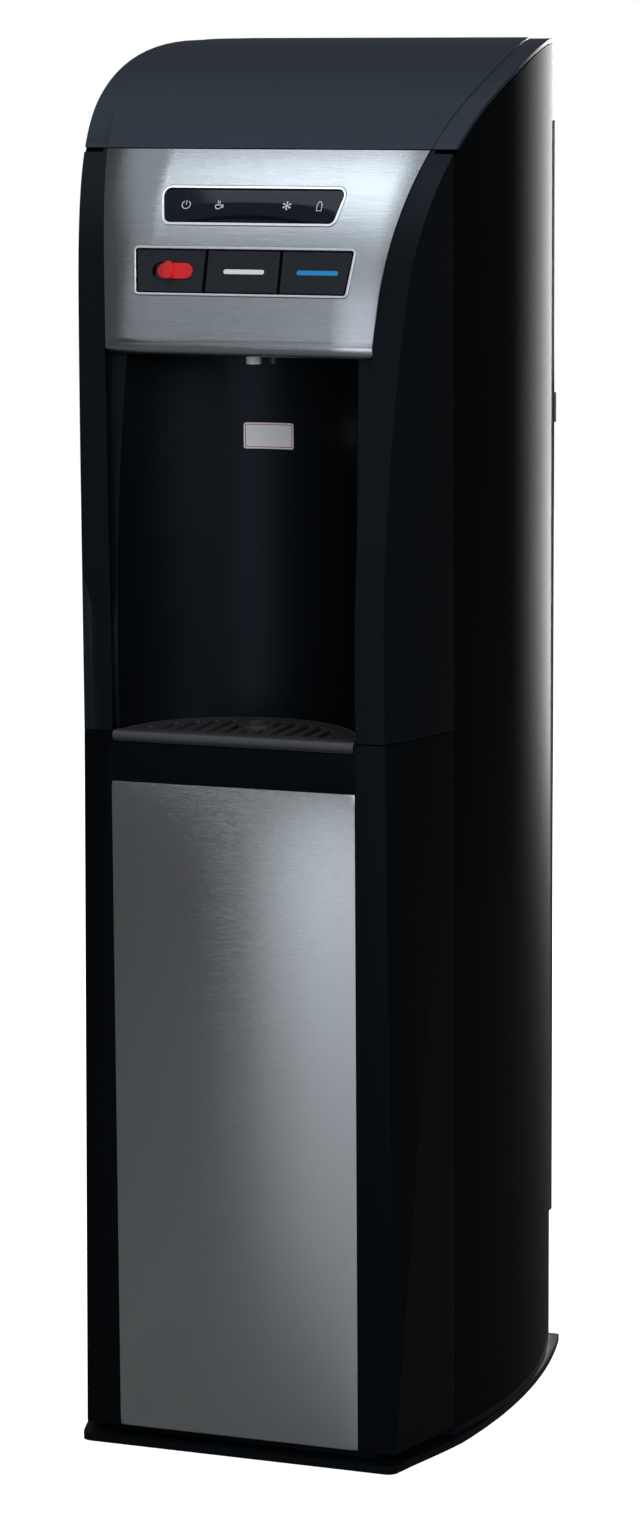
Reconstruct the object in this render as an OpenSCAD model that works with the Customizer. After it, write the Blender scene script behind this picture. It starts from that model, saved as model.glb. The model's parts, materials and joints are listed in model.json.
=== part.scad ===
// Bottom-load water dispenser: a tall barrel-sided cabinet with a curved front.
// Frame: +Z up, front towards -Y, origin on the floor below the middle of the box.
// A five-gallon bottle stands behind the door, the cooling and heating is above it.

/* [Cabinet] */
// Overall height
height = 1082; // [1060:1:1120]
// Greatest width, across the bulge of the two sides
body_w = 328; // [320:1:340]
// Width across the front corners
front_w = 243; // [236:1:250]
// Depth from the front corners to the outside of the rear panel
body_d = 362; // [356:1:376]
// Distance from the front corners back to the widest place
bulge_at = 201; // [190:1:210]
// Distance from the front corners back to the upright side seam
seam_at = 80.6; // [78:0.1:84]
// How far the front corners lie behind the flat of the front
corner_fall = 2.5; // [1.5:0.1:4]
// Gap that shows between neighbouring covers
seam = 0.8; // [0.6:0.1:1.2]
// Wall of the moulded plastic covers
wall = 3; // [2.5:0.1:3.6]
// Thickness of the steel sheet
sheet = 1.2; // [0.8:0.1:1.6]

/* [Front curve] */
// Height above the door seam at which the front starts to lean back
crest_up = 53; // [45:1:65]
// Radius of the first, slow part of the curve
crest_r1 = 1522; // [1450:1:1600]
// Radius of the second, tight part of the curve
crest_r2 = 208; // [200:1:214]
// Lean from upright where the tight part starts
lean_1 = 10.3; // [9.8:0.1:10.8]
// Lean from upright where the last, flatter part starts
lean_2 = 64; // [60:0.5:66]
// Width between the side strips at the front
inner_front_w = 198; // [192:1:202]
// Width of each side strip at the widest place
strip_w = 17; // [15:0.5:19]
// How far the middle stands above the side strips
strip_step = 1; // [0.5:0.1:1.5]

/* [Base] */
// How far the rubber feet stand out below the base
foot_proud = 1.5; // [1:0.1:3]
// Radius of a rubber foot
foot_r = 12; // [10:0.5:14]
// Height of the low rim round the front of the base
rim_top = 7.5; // [6.5:0.1:8.5]
// Height of the base under the side and rear panels
base_top = 14; // [13:0.1:15]
// Half width of the base at its front corners
base_half = 136; // [132:0.5:140]
// How far the base reaches in front of the cabinet corners
base_lead = 8; // [5:0.5:10]
// Radius of the front corners of the base
base_corner_r = 9; // [6:0.5:12]

/* [Door] */
// Height of the underside of the door
door_z = 15.2; // [15:0.1:17]
// Height of everything above the seam over the door
upper_h = 517; // [513:1:521]
// Distance from that seam down to the top edge of the steel door skin
band_h = 38; // [36:1:48]
// How far the steel skin swells out at its middle
skin_bulge = 10; // [6:0.5:12]
// How much the front corners of the door widen towards the floor
door_flare = 6.5; // [4:0.5:8]
// Radius of the rounded rear edge on the hinge side
hinge_r = 7; // [6.5:0.1:8]
// Radius of a hinge pin
pin_r = 4; // [3:0.1:4.5]
// Running clearance round a hinge pin
pin_play = 0.05; // [0.03:0.01:0.08]

/* [Alcove] */
// Radius of the round alcove wall
alcove_r = 97; // [93:0.5:98]
// Height of the alcove ceiling above the door seam
alcove_h = 288; // [282:1:290]
// Depth of the drip tray
tray_depth = 20; // [16:0.5:21]
// Height of the rounded front edge of the drip tray
nose_h = 8; // [7:0.1:9]
// Thickness of the drip grille
grille_t = 3; // [2.5:0.1:3.5]
// Width of one slot in the grille
slot_w = 6; // [5:0.1:7]
// Distance between slots
slot_pitch = 12.7; // [12:0.1:14]

/* [Control panel] */
// Height of the seam between the fascia and the hood above the door seam
hood_up = 437; // [434:1:440]
// Thickness of the steel fascia
fascia_t = 1; // [0.8:0.1:1.2]
// Radius of the rolled lower lip of the fascia
lip_r = 8; // [6:0.5:9]
// Height of the middle of the button bay above the door seam
bay_up = 348; // [346:1:350]
// Height of the button bay, along the fascia
bay_h = 34; // [32:0.5:36]
// Half width of the button bay at its top
bay_half_top = 87.5; // [85:0.5:90]
// Half width of the button bay at its bottom
bay_half_bottom = 83.5; // [82:0.5:85]
// Travel of a button
button_travel = 3; // [2:0.1:3.5]
// Height of the middle of the display window above the door seam
window_up = 396; // [393:1:399]
// Height of the display window, seen from the front
window_h = 25; // [22:0.5:27]
// Half width of the display window at its top
window_half_top = 73.5; // [70:0.5:76]
// Half width of the display window at its bottom
window_half_bottom = 67.5; // [64:0.5:69]

/* [Rear] */
// How far the rear spacers keep the cabinet off a wall
standoff = 14; // [13:0.5:18]
// Radius of the condenser tube
coil_r = 2.4; // [2:0.1:2.8]
// Radius of a condenser wire
wire_r = 0.8; // [0.6:0.1:1]
// Number of tube runs in the condenser
coil_runs = 16; // [12:2:20]
// Height of the lowest condenser run
coil_z0 = 135; // [125:1:150]
// Distance from the top of the cabinet down to the highest condenser run
coil_drop = 79; // [76:1:100]

/* [Works] */
// Radius of the cold tank inside its foam
cold_tank_r = 60; // [50:1:64]
// Wall of the foam round the cold tank
foam_t = 18; // [14:1:20]
// Radius of the hot tank jacket
hot_tank_r = 50; // [42:1:54]
// Height of both tanks
tank_h = 180; // [150:1:190]
// Radius of the compressor shell
compressor_r = 64; // [56:1:68]
// Height of the compressor shell
compressor_h = 140; // [120:1:150]
// Radius of the bottle that the cabinet takes
bottle_r = 135; // [130:0.5:136]

/* [Hidden] */

// Places that many pieces share
door_top = height - upper_h;
skin_top = door_top - band_h;
crest_z = door_top + crest_up;
alcove_top = door_top + alcove_h;
hood_z = door_top + hood_up;
bay_z = door_top + bay_up;
window_z = door_top + window_up;
coil_z1 = height - coil_drop;
front = -(skin_bulge + corner_fall + body_d + standoff) / 2;
face_y = front + skin_bulge;
corner_y = face_y + corner_fall;
rear_y = corner_y + body_d;
bulge_y = corner_y + bulge_at;
seam_y = corner_y + seam_at;
door_back = seam_y - seam / 2;
panel_y = seam_y + seam / 2;
half_w = body_w / 2;
half_front = front_w / 2;
eps = 0.01;
far = 400;
fit = 0.3;

// The side of the cabinet is one arc, and so is the inner edge of the side strips
barrel_r = (pow(bulge_at, 2) + pow(half_w - half_front, 2)) / (2 * (half_w - half_front));
inner_half = inner_front_w / 2;
strip_half = half_w - strip_w;
strip_r = (pow(bulge_at, 2) + pow(strip_half - inner_half, 2)) / (2 * (strip_half - inner_half));
base_r = (pow(bulge_at, 2) + pow(half_w - base_half, 2)) / (2 * (half_w - base_half));

// Half width of the cabinet, and of the middle between the strips, at depth y
function side_x(y, inset = 0) = half_w - barrel_r + sqrt(pow(barrel_r - inset, 2) - pow(y - bulge_y, 2));
function strip_x(y, inset = 0) = strip_half - strip_r + sqrt(pow(strip_r - inset, 2) - pow(y - bulge_y, 2));

// The front curve: three arcs that run into one another, then a level top
crest_rise = crest_r1 * sin(lean_1) + crest_r2 * (sin(lean_2) - sin(lean_1));
crest_r3 = (height - crest_z - crest_rise) / (1 - sin(lean_2));
function lean(a) = [-cos(a), sin(a)];
crest_c1 = [face_y + crest_r1, crest_z];
crest_c2 = crest_c1 + (crest_r1 - crest_r2) * lean(lean_1);
crest_c3 = crest_c2 + (crest_r2 - crest_r3) * lean(lean_2);

// Lean of the button bay and of the display, both on the tight arc
bay_lean = asin((bay_z - crest_c2[1]) / crest_r2);
window_lean = asin((window_z - crest_c2[1]) / crest_r2);

// Depth of the front curve at height z, at a given distance inside the skin
function arc_y(c, r, z) = c[0] - sqrt(pow(r, 2) - pow(z - c[1], 2));
function crest_y(z, inset = 0) =
    z <= crest_z ? face_y + inset :
    z <= crest_c1[1] + (crest_r1 - inset) * sin(lean_1) ? arc_y(crest_c1, crest_r1 - inset, z) :
    z <= crest_c2[1] + (crest_r2 - inset) * sin(lean_2) ? arc_y(crest_c2, crest_r2 - inset, z) :
    arc_y(crest_c3, crest_r3 - inset, min(z, crest_c3[1] + crest_r3 - inset - eps));

// Points along one arc of the front curve, from lean a to lean b
function arc_points(c, r, a, b, n) = [for (i = [1 : n]) c + r * lean(a + (b - a) * i / n)];

// Side view of everything behind the front curve, a given distance inside the skin
module crest_2d(inset = 0) {
    top = crest_c3[1] + crest_r3 - inset;
    polygon(concat(
        [[face_y + inset, -1], [face_y + inset, crest_z]],
        arc_points(crest_c1, crest_r1 - inset, 0, lean_1, 10),
        arc_points(crest_c2, crest_r2 - inset, lean_1, lean_2, 27),
        arc_points(crest_c3, crest_r3 - inset, lean_2, 90, 12),
        [[far, top], [far, -1]]
    ));
}

module crest(inset = 0) {
    translate([-far / 2, 0, 0]) rotate([90, 0, 90]) linear_extrude(far) crest_2d(inset);
}

// A sheet of thickness t that follows the front curve
module crest_sheet(inset, t) {
    difference() {
        crest(inset);
        crest(inset + t);
    }
}

// Top view of a barrel: two arcs, widest at bulge_y
module lens_2d(half, r, inset = 0) {
    intersection() {
        translate([half - r, bulge_y]) circle(r = r - inset, $fn = 360);
        translate([r - half, bulge_y]) circle(r = r - inset, $fn = 360);
    }
}

module between(y0, y1) {
    translate([-far, y0]) square([2 * far, y1 - y0]);
}

// Top view of the cabinet between two depths
module body_2d(inset = 0, y0 = corner_y, y1 = rear_y) {
    intersection() {
        lens_2d(half_w, barrel_r, inset);
        between(y0, y1);
    }
}

// The same with the sloping faces in front of the corners
module front_2d(inset = 0) {
    body_2d(inset, corner_y + inset, door_back);
    intersection() {
        lens_2d(half_w, barrel_r, inset);
        polygon([
            [-half_front, corner_y + inset + eps],
            [-inner_half, face_y + inset],
            [inner_half, face_y + inset],
            [half_front, corner_y + inset + eps]
        ]);
    }
}

// Top view of the middle between the side strips
module middle_2d(inset = 0, y0 = face_y - 1, y1 = rear_y) {
    intersection() {
        lens_2d(strip_half, strip_r, inset);
        between(y0, y1);
    }
}

module slab(z0, z1) {
    translate([0, 0, z0]) linear_extrude(z1 - z0) children();
}

module box(x0, x1, y0, y1, z0, z1) {
    translate([x0, y0, z0]) cube([x1 - x0, y1 - y0, z1 - z0]);
}

// A flat shape on the XZ plane, cut through a stretch of depth
module through_y(y0, y1) {
    translate([0, y1, 0]) rotate([90, 0, 0]) linear_extrude(y1 - y0) children();
}

// A round-ended bar of a given length, lying along X
module pill_2d(len, w) {
    square([len - w, w], center = true);
    for (s = [-1, 1]) translate([s * (len - w) / 2, 0]) circle(d = w, $fn = 32);
}

module rounded_2d(w, h, r) {
    square([w - 2 * r, h], center = true);
    square([w, h - 2 * r], center = true);
    for (sx = [-1, 1], sz = [-1, 1])
        translate([sx * (w / 2 - r), sz * (h / 2 - r)]) circle(r = r, $fn = 32);
}

// A pipe of radius r through a list of points, with a slightly larger ball at each turn
elbow = 1.15;

module pipe(points, r) {
    for (i = [0 : len(points) - 2]) {
        a = points[i];
        run = points[i + 1] - a;
        span = norm(run);
        turn = acos(run[2] / span);
        translate(a) rotate([0, turn, atan2(run[1], run[0])]) cylinder(r = r, h = span, $fn = 24);
    }
    for (i = [1 : len(points) - 2]) translate(points[i]) sphere(r = elbow * r, $fn = 24);
}

// Base: a moulded tray with a low rim at the front and a deck that carries the cabinet
deck_t = 3;
toe = 10;
rib = 2.4;
foot_seat = 6;
foot_spots = [for (s = [-1, 1]) each [[s * 95, corner_y + 30], [s * 105, corner_y + 330]]];

module base_2d(inset = 0) {
    r = base_corner_r;
    y0 = corner_y - base_lead + inset;
    intersection() {
        lens_2d(half_w, base_r, inset);
        between(y0, rear_y - inset);
        union() {
            between(y0 + r, rear_y);
            translate([-base_half + inset + r, y0]) square([2 * (base_half - inset - r), 2 * r]);
            for (s = [-1, 1]) translate([s * (base_half - inset - r), y0 + r]) circle(r = r, $fn = 48);
        }
    }
}

module base_deck_2d(inset = 0) {
    body_2d(inset, panel_y + inset, rear_y - inset);
    body_2d(toe + inset, corner_y + toe + inset, panel_y + inset + 1);
}

// Ribs under the deck, with a round socket for each foot
module base_ribs_2d() {
    intersection() {
        base_deck_2d(wall / 2);
        for (x = [-60, 0, 60]) translate([x, bulge_y]) square([rib, 2 * far], center = true);
    }
    for (spot = foot_spots) translate(spot) circle(r = foot_r + 2.5, $fn = 48);
}

module base() {
    color([0.05, 0.05, 0.055]) difference() {
        union() {
            difference() {
                union() {
                    slab(foot_proud, rim_top) base_2d();
                    slab(foot_proud, base_top) base_deck_2d();
                }
                slab(foot_proud - 1, rim_top - deck_t) base_2d(wall);
                slab(foot_proud - 1, base_top - deck_t) base_deck_2d(wall);
            }
            slab(foot_proud, base_top - deck_t + 1) base_ribs_2d();
            hinge_post(rim_top - deck_t - 1, base_top, boss_r);
        }
        for (spot = foot_spots) post_at(spot, -1, foot_seat, foot_r);
        hinge_bore(rim_top - deck_t + 1, base_top + 1);
    }
}

// Rubber feet: pushed into the round sockets under the base
module rubber_feet() {
    color([0.12, 0.12, 0.12]) for (spot = foot_spots) {
        translate([spot[0], spot[1], 0])
            cylinder(r1 = foot_r - foot_proud, r2 = foot_r, h = foot_proud, $fn = 48);
        post_at(spot, foot_proud, foot_seat, foot_r);
    }
}

// Bottle guide: the floor that the bottle stands on, with a low round fence at the back
guide_t = 3;
guide_fence = 14;

module bottle_guide() {
    color([0.16, 0.16, 0.17]) {
        slab(base_top, base_top + guide_t) body_2d(6, panel_y + 20, rear_y - 8);
        intersection() {
            translate([0, bulge_y, base_top]) difference() {
                cylinder(r = bottle_r + 6, h = guide_t + guide_fence, $fn = 120);
                translate([0, 0, guide_t]) cylinder(r = bottle_r + 3, h = guide_fence + 1, $fn = 120);
            }
            slab(base_top, base_top + guide_t + guide_fence) body_2d(6, bulge_y + 60, rear_y - 8);
        }
    }
}

// Side panels: one painted sheet each, folded inwards at the side seam and at the back
flange_w = 14;
panel_z = base_top + fit;
panel_drop = strip_step + wall + seam;

module side_panel() {
    intersection() {
        crest(panel_drop);
        difference() {
            slab(panel_z, height) intersection() {
                body_2d(0, panel_y, rear_y);
                translate([0, -far]) square([far, 2 * far]);
            }
            slab(0, height + 1) body_2d(sheet, panel_y + sheet, rear_y - 2 * sheet);
            slab(0, height + 1) body_2d(sheet, rear_y - sheet, rear_y + 1);
            box(-1, side_x(panel_y) - flange_w, panel_y - 1, bulge_y, 0, height + 1);
            box(-1, side_x(rear_y) - flange_w, bulge_y - 1, rear_y + 1, 0, height + 1);
        }
    }
}

module right_side_panel() {
    color([0.07, 0.07, 0.08]) side_panel();
}

module left_side_panel() {
    color([0.07, 0.07, 0.08]) mirror([1, 0, 0]) side_panel();
}

// Rear panel: lies on the back folds of the side panels
rear_lip = 22;
rear_half = side_x(rear_y, sheet) - fit;
rear_top = height - rear_lip - seam;
gland_at = [95, 80];
gland_r = 8;
drain_at = [-60, 80];
drain_r = 6;
switch_x = 30;
switch_z = height - 46;
switch_body_w = 18;
switch_body_h = 25;
vent_pitch = 25;
vent_len = 44;
vent_w = 6;
coil_half = 126;
coil_pitch = (coil_z1 - coil_z0) / (coil_runs - 1);
line_x = coil_half - coil_r - coil_pitch / 2;
line_y = rear_y - 16;

module rear_hole(at, r) {
    translate([at[0], 0, at[1]]) through_y(rear_y - 2 * sheet, rear_y + 1) circle(r = r, $fn = 48);
}

module rear_panel() {
    color([0.2, 0.2, 0.21]) difference() {
        box(-rear_half, rear_half, rear_y - sheet, rear_y, panel_z, rear_top);
        for (i = [-3 : 3], z = [25, 95]) translate([i * vent_pitch, 0, door_top + z])
            through_y(rear_y - 2 * sheet, rear_y + 1) rotate(90) pill_2d(vent_len, vent_w);
        for (s = [-1, 1]) translate([s * switch_x, 0, switch_z])
            through_y(rear_y - 2 * sheet, rear_y + 1) square([switch_body_w, switch_body_h], center = true);
        rear_hole(gland_at, gland_r);
        rear_hole(drain_at, drain_r);
        for (z = [coil_z0, coil_z1]) rear_hole([-line_x, z], coil_r + 1.5);
    }
}

// Side posts: folded channels behind the side seam, from the base up to the hood
post = 16;
post_x1 = side_x(panel_y) - sheet - 0.4;
post_x0 = post_x1 - post;
post_y0 = panel_y + sheet;
post_y1 = post_y0 + post;
post_top = height - 122;

module side_posts() {
    color([0.55, 0.56, 0.58]) for (s = [0, 1]) mirror([s, 0, 0]) difference() {
        box(post_x0, post_x1, post_y0, post_y1, base_top, post_top);
        box(post_x0 - 1, post_x1 - sheet, post_y0 + sheet, post_y1 - sheet, base_top - 1, post_top + 1);
    }
}

// Front rail: ties the posts together under the alcove and carries the shelf
rail_h = 18;
shelf_t = 1.6;
shelf_z = door_top - 30;

// An upright round bar or hole at a place given as [x, y]
module post_at(at, z0, z1, r) {
    translate([at[0], at[1], z0]) cylinder(r = r, h = z1 - z0, $fn = 48);
}

module front_rail() {
    color([0.55, 0.56, 0.58]) difference() {
        box(-post_x0, post_x0, post_y0, post_y1, shelf_z - rail_h, shelf_z);
        box(
            -post_x0 - 1, post_x0 + 1,
            post_y0 + sheet, post_y1 + 1,
            shelf_z - rail_h + sheet, shelf_z - sheet
        );
    }
}

// Mid shelf: roof of the bottle compartment, carries the compressor and the pump
hose_hole_r = 17;

module mid_shelf() {
    color([0.5, 0.51, 0.53]) difference() {
        union() {
            slab(shelf_z, shelf_z + shelf_t) body_2d(sheet, post_y0, rear_y - 2 * sheet);
            slab(shelf_z - 10, shelf_z) difference() {
                body_2d(sheet, post_y1 + 1, rear_y - 2 * sheet);
                body_2d(sheet + shelf_t, post_y1, rear_y - 2 * sheet - shelf_t);
            }
        }
        for (s = [0, 1]) mirror([s, 0, 0])
            box(post_x0 - fit, half_w, post_y0 - 1, post_y1 + fit, shelf_z - 20, shelf_z + 10);
        post_at([0, bulge_y], shelf_z - 20, shelf_z + 20, hose_hole_r);
        post_at([-line_x, line_y], shelf_z - 20, shelf_z + 20, coil_r + 4);
        post_at([drain_at[0], line_y], shelf_z - 20, shelf_z + 20, drain_r + 2);
    }
}

// Front surround: both side strips with their side returns, joined by the seat of the fascia
surround_z0 = door_top + seam / 2;
surround_z1 = hood_z - seam / 2;
return_in = 10.5;
seat_in = 3.5;
seat_t = 3;
lip_z = alcove_top - 3;
liner_t = 2.5;

bay_corner = 2;
window_corner = 5;

// The outline p, listed anticlockwise, with each corner rounded to radius r
function rounded_points(p, r, n = 6) = [
    for (i = [0 : len(p) - 1])
    let (
        before = p[(i + len(p) - 1) % len(p)] - p[i],
        after = p[(i + 1) % len(p)] - p[i],
        u = before / norm(before),
        v = after / norm(after),
        half = acos(u * v) / 2,
        middle = p[i] + (u + v) / norm(u + v) * r / sin(half),
        from = p[i] + u * r / tan(half) - middle,
        start = atan2(from[1], from[0])
    )
    for (k = [0 : n])
    let (a = start + (180 - 2 * half) * k / n)
    middle + r * [cos(a), sin(a)]
];

module bay_2d(grow = 0) {
    polygon(rounded_points([
        [-bay_half_bottom - grow, -bay_h / 2 - grow],
        [bay_half_bottom + grow, -bay_h / 2 - grow],
        [bay_half_top + grow, bay_h / 2 + grow],
        [-bay_half_top - grow, bay_h / 2 + grow]
    ], max(bay_corner + grow, 0.5)));
}

// Moves to the middle of the button bay, with +Y straight into the panel
module at_bay() {
    translate([0, crest_y(bay_z), bay_z]) rotate([-bay_lean, 0, 0]) children();
}

module bay_block(y0, y1, grow = 0) {
    at_bay() through_y(y0, y1) bay_2d(grow);
}

module window_2d(grow = 0) {
    polygon(rounded_points([
        [-window_half_bottom - grow, -window_h / 2 - grow],
        [window_half_bottom + grow, -window_h / 2 - grow],
        [window_half_top + grow, window_h / 2 + grow],
        [-window_half_top - grow, window_h / 2 + grow]
    ], window_corner + grow));
}

module window_block(grow = 0) {
    translate([0, 0, window_z]) through_y(face_y - 20, rear_y) window_2d(grow);
}

module hinge_post(z0, z1, r) {
    post_at([-hinge_x, hinge_y], z0, z1, r);
}

boss_r = hinge_r - 0.5;
turn_r = hinge_r - 0.2;

module hinge_bore(z0, z1) {
    hinge_post(z0, z1, pin_r + pin_play);
}

module front_surround() {
    color([0.06, 0.06, 0.07]) difference() {
        union() {
            difference() {
                intersection() {
                    crest(strip_step);
                    slab(surround_z0, surround_z1) front_2d();
                }
                intersection() {
                    crest(strip_step + wall);
                    slab(surround_z0 + wall, surround_z1 + 1) body_2d(wall, corner_y + wall, door_back + 1);
                }
                slab(0, height) middle_2d();
            }
            intersection() {
                crest_sheet(strip_step, return_in - strip_step);
                slab(surround_z0, surround_z1) difference() {
                    middle_2d(-wall);
                    middle_2d();
                }
            }
            intersection() {
                crest_sheet(seat_in, seat_t);
                slab(lip_z + 2 * lip_r + 2, surround_z1) middle_2d(-wall);
            }
            hinge_post(surround_z0, surround_z0 + 16, boss_r);
        }
        bay_block(-20, 40, bezel_w + fit);
        window_block(bezel_w + fit);
        hinge_bore(surround_z0 - 1, surround_z0 + 14);
    }
}

// Top cover: the moulded hood, from the fascia over the top to the back
cover_z = hood_z + seam / 2;
lip_half = side_x(rear_y) - flange_w - fit;

module top_cover() {
    color([0.14, 0.16, 0.19]) {
        intersection() {
            crest_sheet(strip_step, wall);
            slab(cover_z, height) body_2d();
        }
        intersection() {
            crest_sheet(0, wall + strip_step);
            slab(cover_z, height + 1) middle_2d();
        }
        intersection() {
            crest_sheet(strip_step + wall - eps, 10);
            slab(cover_z, height) difference() {
                body_2d(sheet + fit, post_y1 + 6, rear_y - 12);
                body_2d(sheet + fit + 2, corner_y, rear_y);
            }
        }
        intersection() {
            crest(strip_step + wall - eps);
            box(-lip_half, lip_half, rear_y - wall, rear_y, height - rear_lip, height);
        }
    }
}

// Alcove liner: round back wall, ceiling over the cup space and floor under the tray
alcove_y = corner_y - 2;
nose_top = door_top + 1;
tray_z = nose_top - tray_depth;
alcove_floor = tray_z - fit;
spout_y = corner_y + 51;
spout_x2 = 16;

spout_r = 5.9;
spout_r2 = 3.5;
lip_back = crest_y(lip_z + lip_r) + 2 * lip_r + 1;

module alcove_2d(r) {
    translate([0, alcove_y]) circle(r = r, $fn = 180);
}

module alcove_liner() {
    color([0.05, 0.055, 0.07]) difference() {
        union() {
            intersection() {
                crest(return_in);
                slab(alcove_floor - liner_t, alcove_top + liner_t) alcove_2d(alcove_r + liner_t);
            }
            intersection() {
                crest_sheet(return_in, liner_t);
                slab(surround_z0 + wall + fit, alcove_top) middle_2d(-wall);
            }
        }
        slab(alcove_floor, alcove_top) alcove_2d(alcove_r);
        box(-half_w, half_w, face_y, lip_back, lip_z - fit, height);
        post_at([0, spout_y], alcove_top - 1, alcove_top + 10, spout_r + fit);
        post_at([spout_x2, spout_y], alcove_top - 1, alcove_top + 10, spout_r2 + fit);
    }
}

// Drip tray: a basin that drops into the alcove floor, with a rounded front edge
tray_gap = 2.7;
tray_wall = 2.5;
nose_back = face_y + return_in - 0.3;
tray_r = alcove_r - tray_gap;
tray_half = strip_x(face_y) - 0.5;
tray_y = corner_y + 4;

module tray_2d(inset = 0) {
    intersection() {
        translate([0, alcove_y]) circle(r = tray_r - inset, $fn = 180);
        translate([-tray_half + inset, tray_y + inset]) square([2 * (tray_half - inset), 2 * alcove_r]);
    }
}

module drip_tray() {
    color([0.1, 0.1, 0.11]) {
        difference() {
            union() {
                slab(tray_z, nose_top) tray_2d();
                box(-tray_half, tray_half, face_y + 1, nose_back, nose_top - nose_h, nose_top);
                translate([-tray_half, face_y + nose_h / 2 - 1, nose_top - nose_h / 2])
                    rotate([0, 90, 0]) cylinder(r = nose_h / 2, h = 2 * tray_half, $fn = 48);
            }
            slab(tray_z + 2, nose_top + 1) tray_2d(tray_wall);
        }
        slab(tray_z + 1, nose_top - grille_t - fit) difference() {
            tray_2d(tray_wall - 0.5);
            tray_2d(tray_wall + 2.5);
        }
    }
}

// Drip grille: slotted plate with a raised finger ring
ring_r = 15;
ring_hole_r = 11;
ring_rise = 2.5;
ring_y = corner_y + 50;
slot_n = 6;

module grille_2d(inset = 0) {
    tray_2d(tray_wall + fit + inset);
}

// One slot, its rear end on a line that follows the round back of the grille
module grille_slot(i) {
    x = i * slot_pitch;
    back = alcove_y + sqrt(pow(tray_r - 12, 2) - pow(x, 2)) - slot_w;
    y0 = tray_y + 14;
    translate([x - slot_w / 2, y0]) square([slot_w, back - y0]);
    for (y = [y0, back]) translate([x, y]) circle(d = slot_w, $fn = 32);
}

module drip_grille() {
    color([0.13, 0.13, 0.14]) difference() {
        union() {
            slab(nose_top - grille_t, nose_top) difference() {
                grille_2d();
                for (i = [-slot_n : slot_n]) grille_slot(i);
            }
            post_at([0, ring_y], nose_top - grille_t, nose_top + ring_rise, ring_r);
        }
        post_at([0, ring_y], nose_top - grille_t - 1, nose_top + ring_rise + 1, ring_hole_r);
    }
}

// Door: a deep moulded shell that wraps round both front corners as far as the side seam
hinge_y = door_back - hinge_r;
hinge_x = side_x(hinge_y, hinge_r);
band_top = nose_top - nose_h - seam;
door_z1 = door_top - seam / 2;
door_deck = alcove_floor - liner_t - 2;
skin_z = door_z + 1;
skin_half = inner_half - 0.6;
skin_seat = 2.2;

// One side of the door outline seen from above, widened by the flare
function door_side(s, flare) = [
    for (i = [0 : 12])
    let (y = door_back - (door_back - corner_y) * i / 12)
    [s * (side_x(y) + flare * pow((door_back - y) / (door_back - corner_y), 2)), y]
];

module door_slice(z, flare) {
    right = door_side(1, flare);
    nose = [[-inner_half, face_y], [inner_half, face_y]];
    outline = concat(door_side(-1, flare), nose, [for (i = [12 : -1 : 0]) right[i]]);
    translate([0, 0, z]) linear_extrude(eps) polygon(outline);
}

module door_shell() {
    color([0.06, 0.06, 0.07]) difference() {
        union() {
            difference() {
                hull() {
                    door_slice(door_z, door_flare);
                    door_slice(door_z1 - eps, 0);
                }
                slab(door_z + wall, door_z1 - wall) body_2d(wall, corner_y + wall, door_back + 5);
                box(
                    wall - inner_half, inner_half - wall,
                    face_y + wall, corner_y + wall + 1,
                    door_z + wall, door_z1 - wall
                );
            }
            slab(door_deck - wall, door_z1 - 1) middle_2d(-wall, corner_y, door_back);
            hinge_post(door_z, door_z + 15, boss_r);
            hinge_post(door_z1 - 15, door_z1, boss_r);
        }
        slab(door_deck, height) middle_2d(0, face_y + wall);
        slab(band_top, height) middle_2d();
        box(
            -skin_half - fit, skin_half + fit,
            front - 1, face_y + skin_seat,
            skin_z - fit, skin_top + fit
        );
        difference() {
            box(-half_w, -hinge_x, hinge_y, door_back + 1, 0, height);
            hinge_post(-1, height + 1, turn_r);
        }
        hinge_bore(door_z - 1, door_z + 14);
        hinge_bore(door_z1 - 14, door_z1 + 1);
    }
}

// Steel door skin: swells out across and along, edges folded back into the shell
skin_t = 0.9;
skin_long = 1.7 * skin_bulge;
skin_mid = (skin_z + skin_top) / 2;
skin_tall = (skin_top - skin_z) / 2;
skin_r1 = (pow(skin_half, 2) + pow(skin_bulge, 2)) / (2 * skin_bulge);
skin_r2 = (pow(skin_tall, 2) + pow(skin_long, 2)) / (2 * skin_long);

// A block whose front swells out between four straight edges
module skin_block(in, back) {
    intersection() {
        box(in - skin_half, skin_half - in, front - 1, back, skin_z + in, skin_top - in);
        translate([0, face_y + skin_r1 - skin_bulge, 0]) cylinder(r = skin_r1 - in, h = height, $fn = 360);
        translate([-half_w, face_y + skin_r2 - skin_long, skin_mid])
            rotate([0, 90, 0]) cylinder(r = skin_r2 - in, h = body_w, $fn = 360);
    }
}

module door_skin() {
    color([0.72, 0.73, 0.74]) difference() {
        skin_block(0, face_y + skin_seat);
        skin_block(skin_t, face_y + skin_seat + 1);
    }
}

// Door liner: closes the back of the door, dished in the middle to clear the bottle
liner_back = door_back - 12;
dish_y = corner_y + 38;
dish_w = 210;
dish_r = 20;
door_liner_z0 = door_z + wall + fit;
door_liner_z1 = door_deck - wall - fit;

module door_liner() {
    dish_z0 = door_liner_z0 + 24;
    dish_z1 = door_liner_z1 - 30;
    mid_z = (dish_z0 + dish_z1) / 2;
    color([0.75, 0.75, 0.74]) difference() {
        union() {
            slab(door_liner_z0, door_liner_z1) body_2d(wall + fit + 0.4, liner_back - liner_t, liner_back);
            translate([0, 0, mid_z]) through_y(dish_y, liner_back)
                rounded_2d(dish_w + 2 * liner_t, dish_z1 - dish_z0 + 2 * liner_t, dish_r + liner_t);
        }
        translate([0, 0, mid_z]) through_y(dish_y + liner_t, liner_back + 1)
            rounded_2d(dish_w, dish_z1 - dish_z0, dish_r);
        hinge_post(door_z, door_z + 17, hinge_r + 1.5);
        hinge_post(door_z1 - 30, door_z1, hinge_r + 1.5);
    }
}

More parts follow.
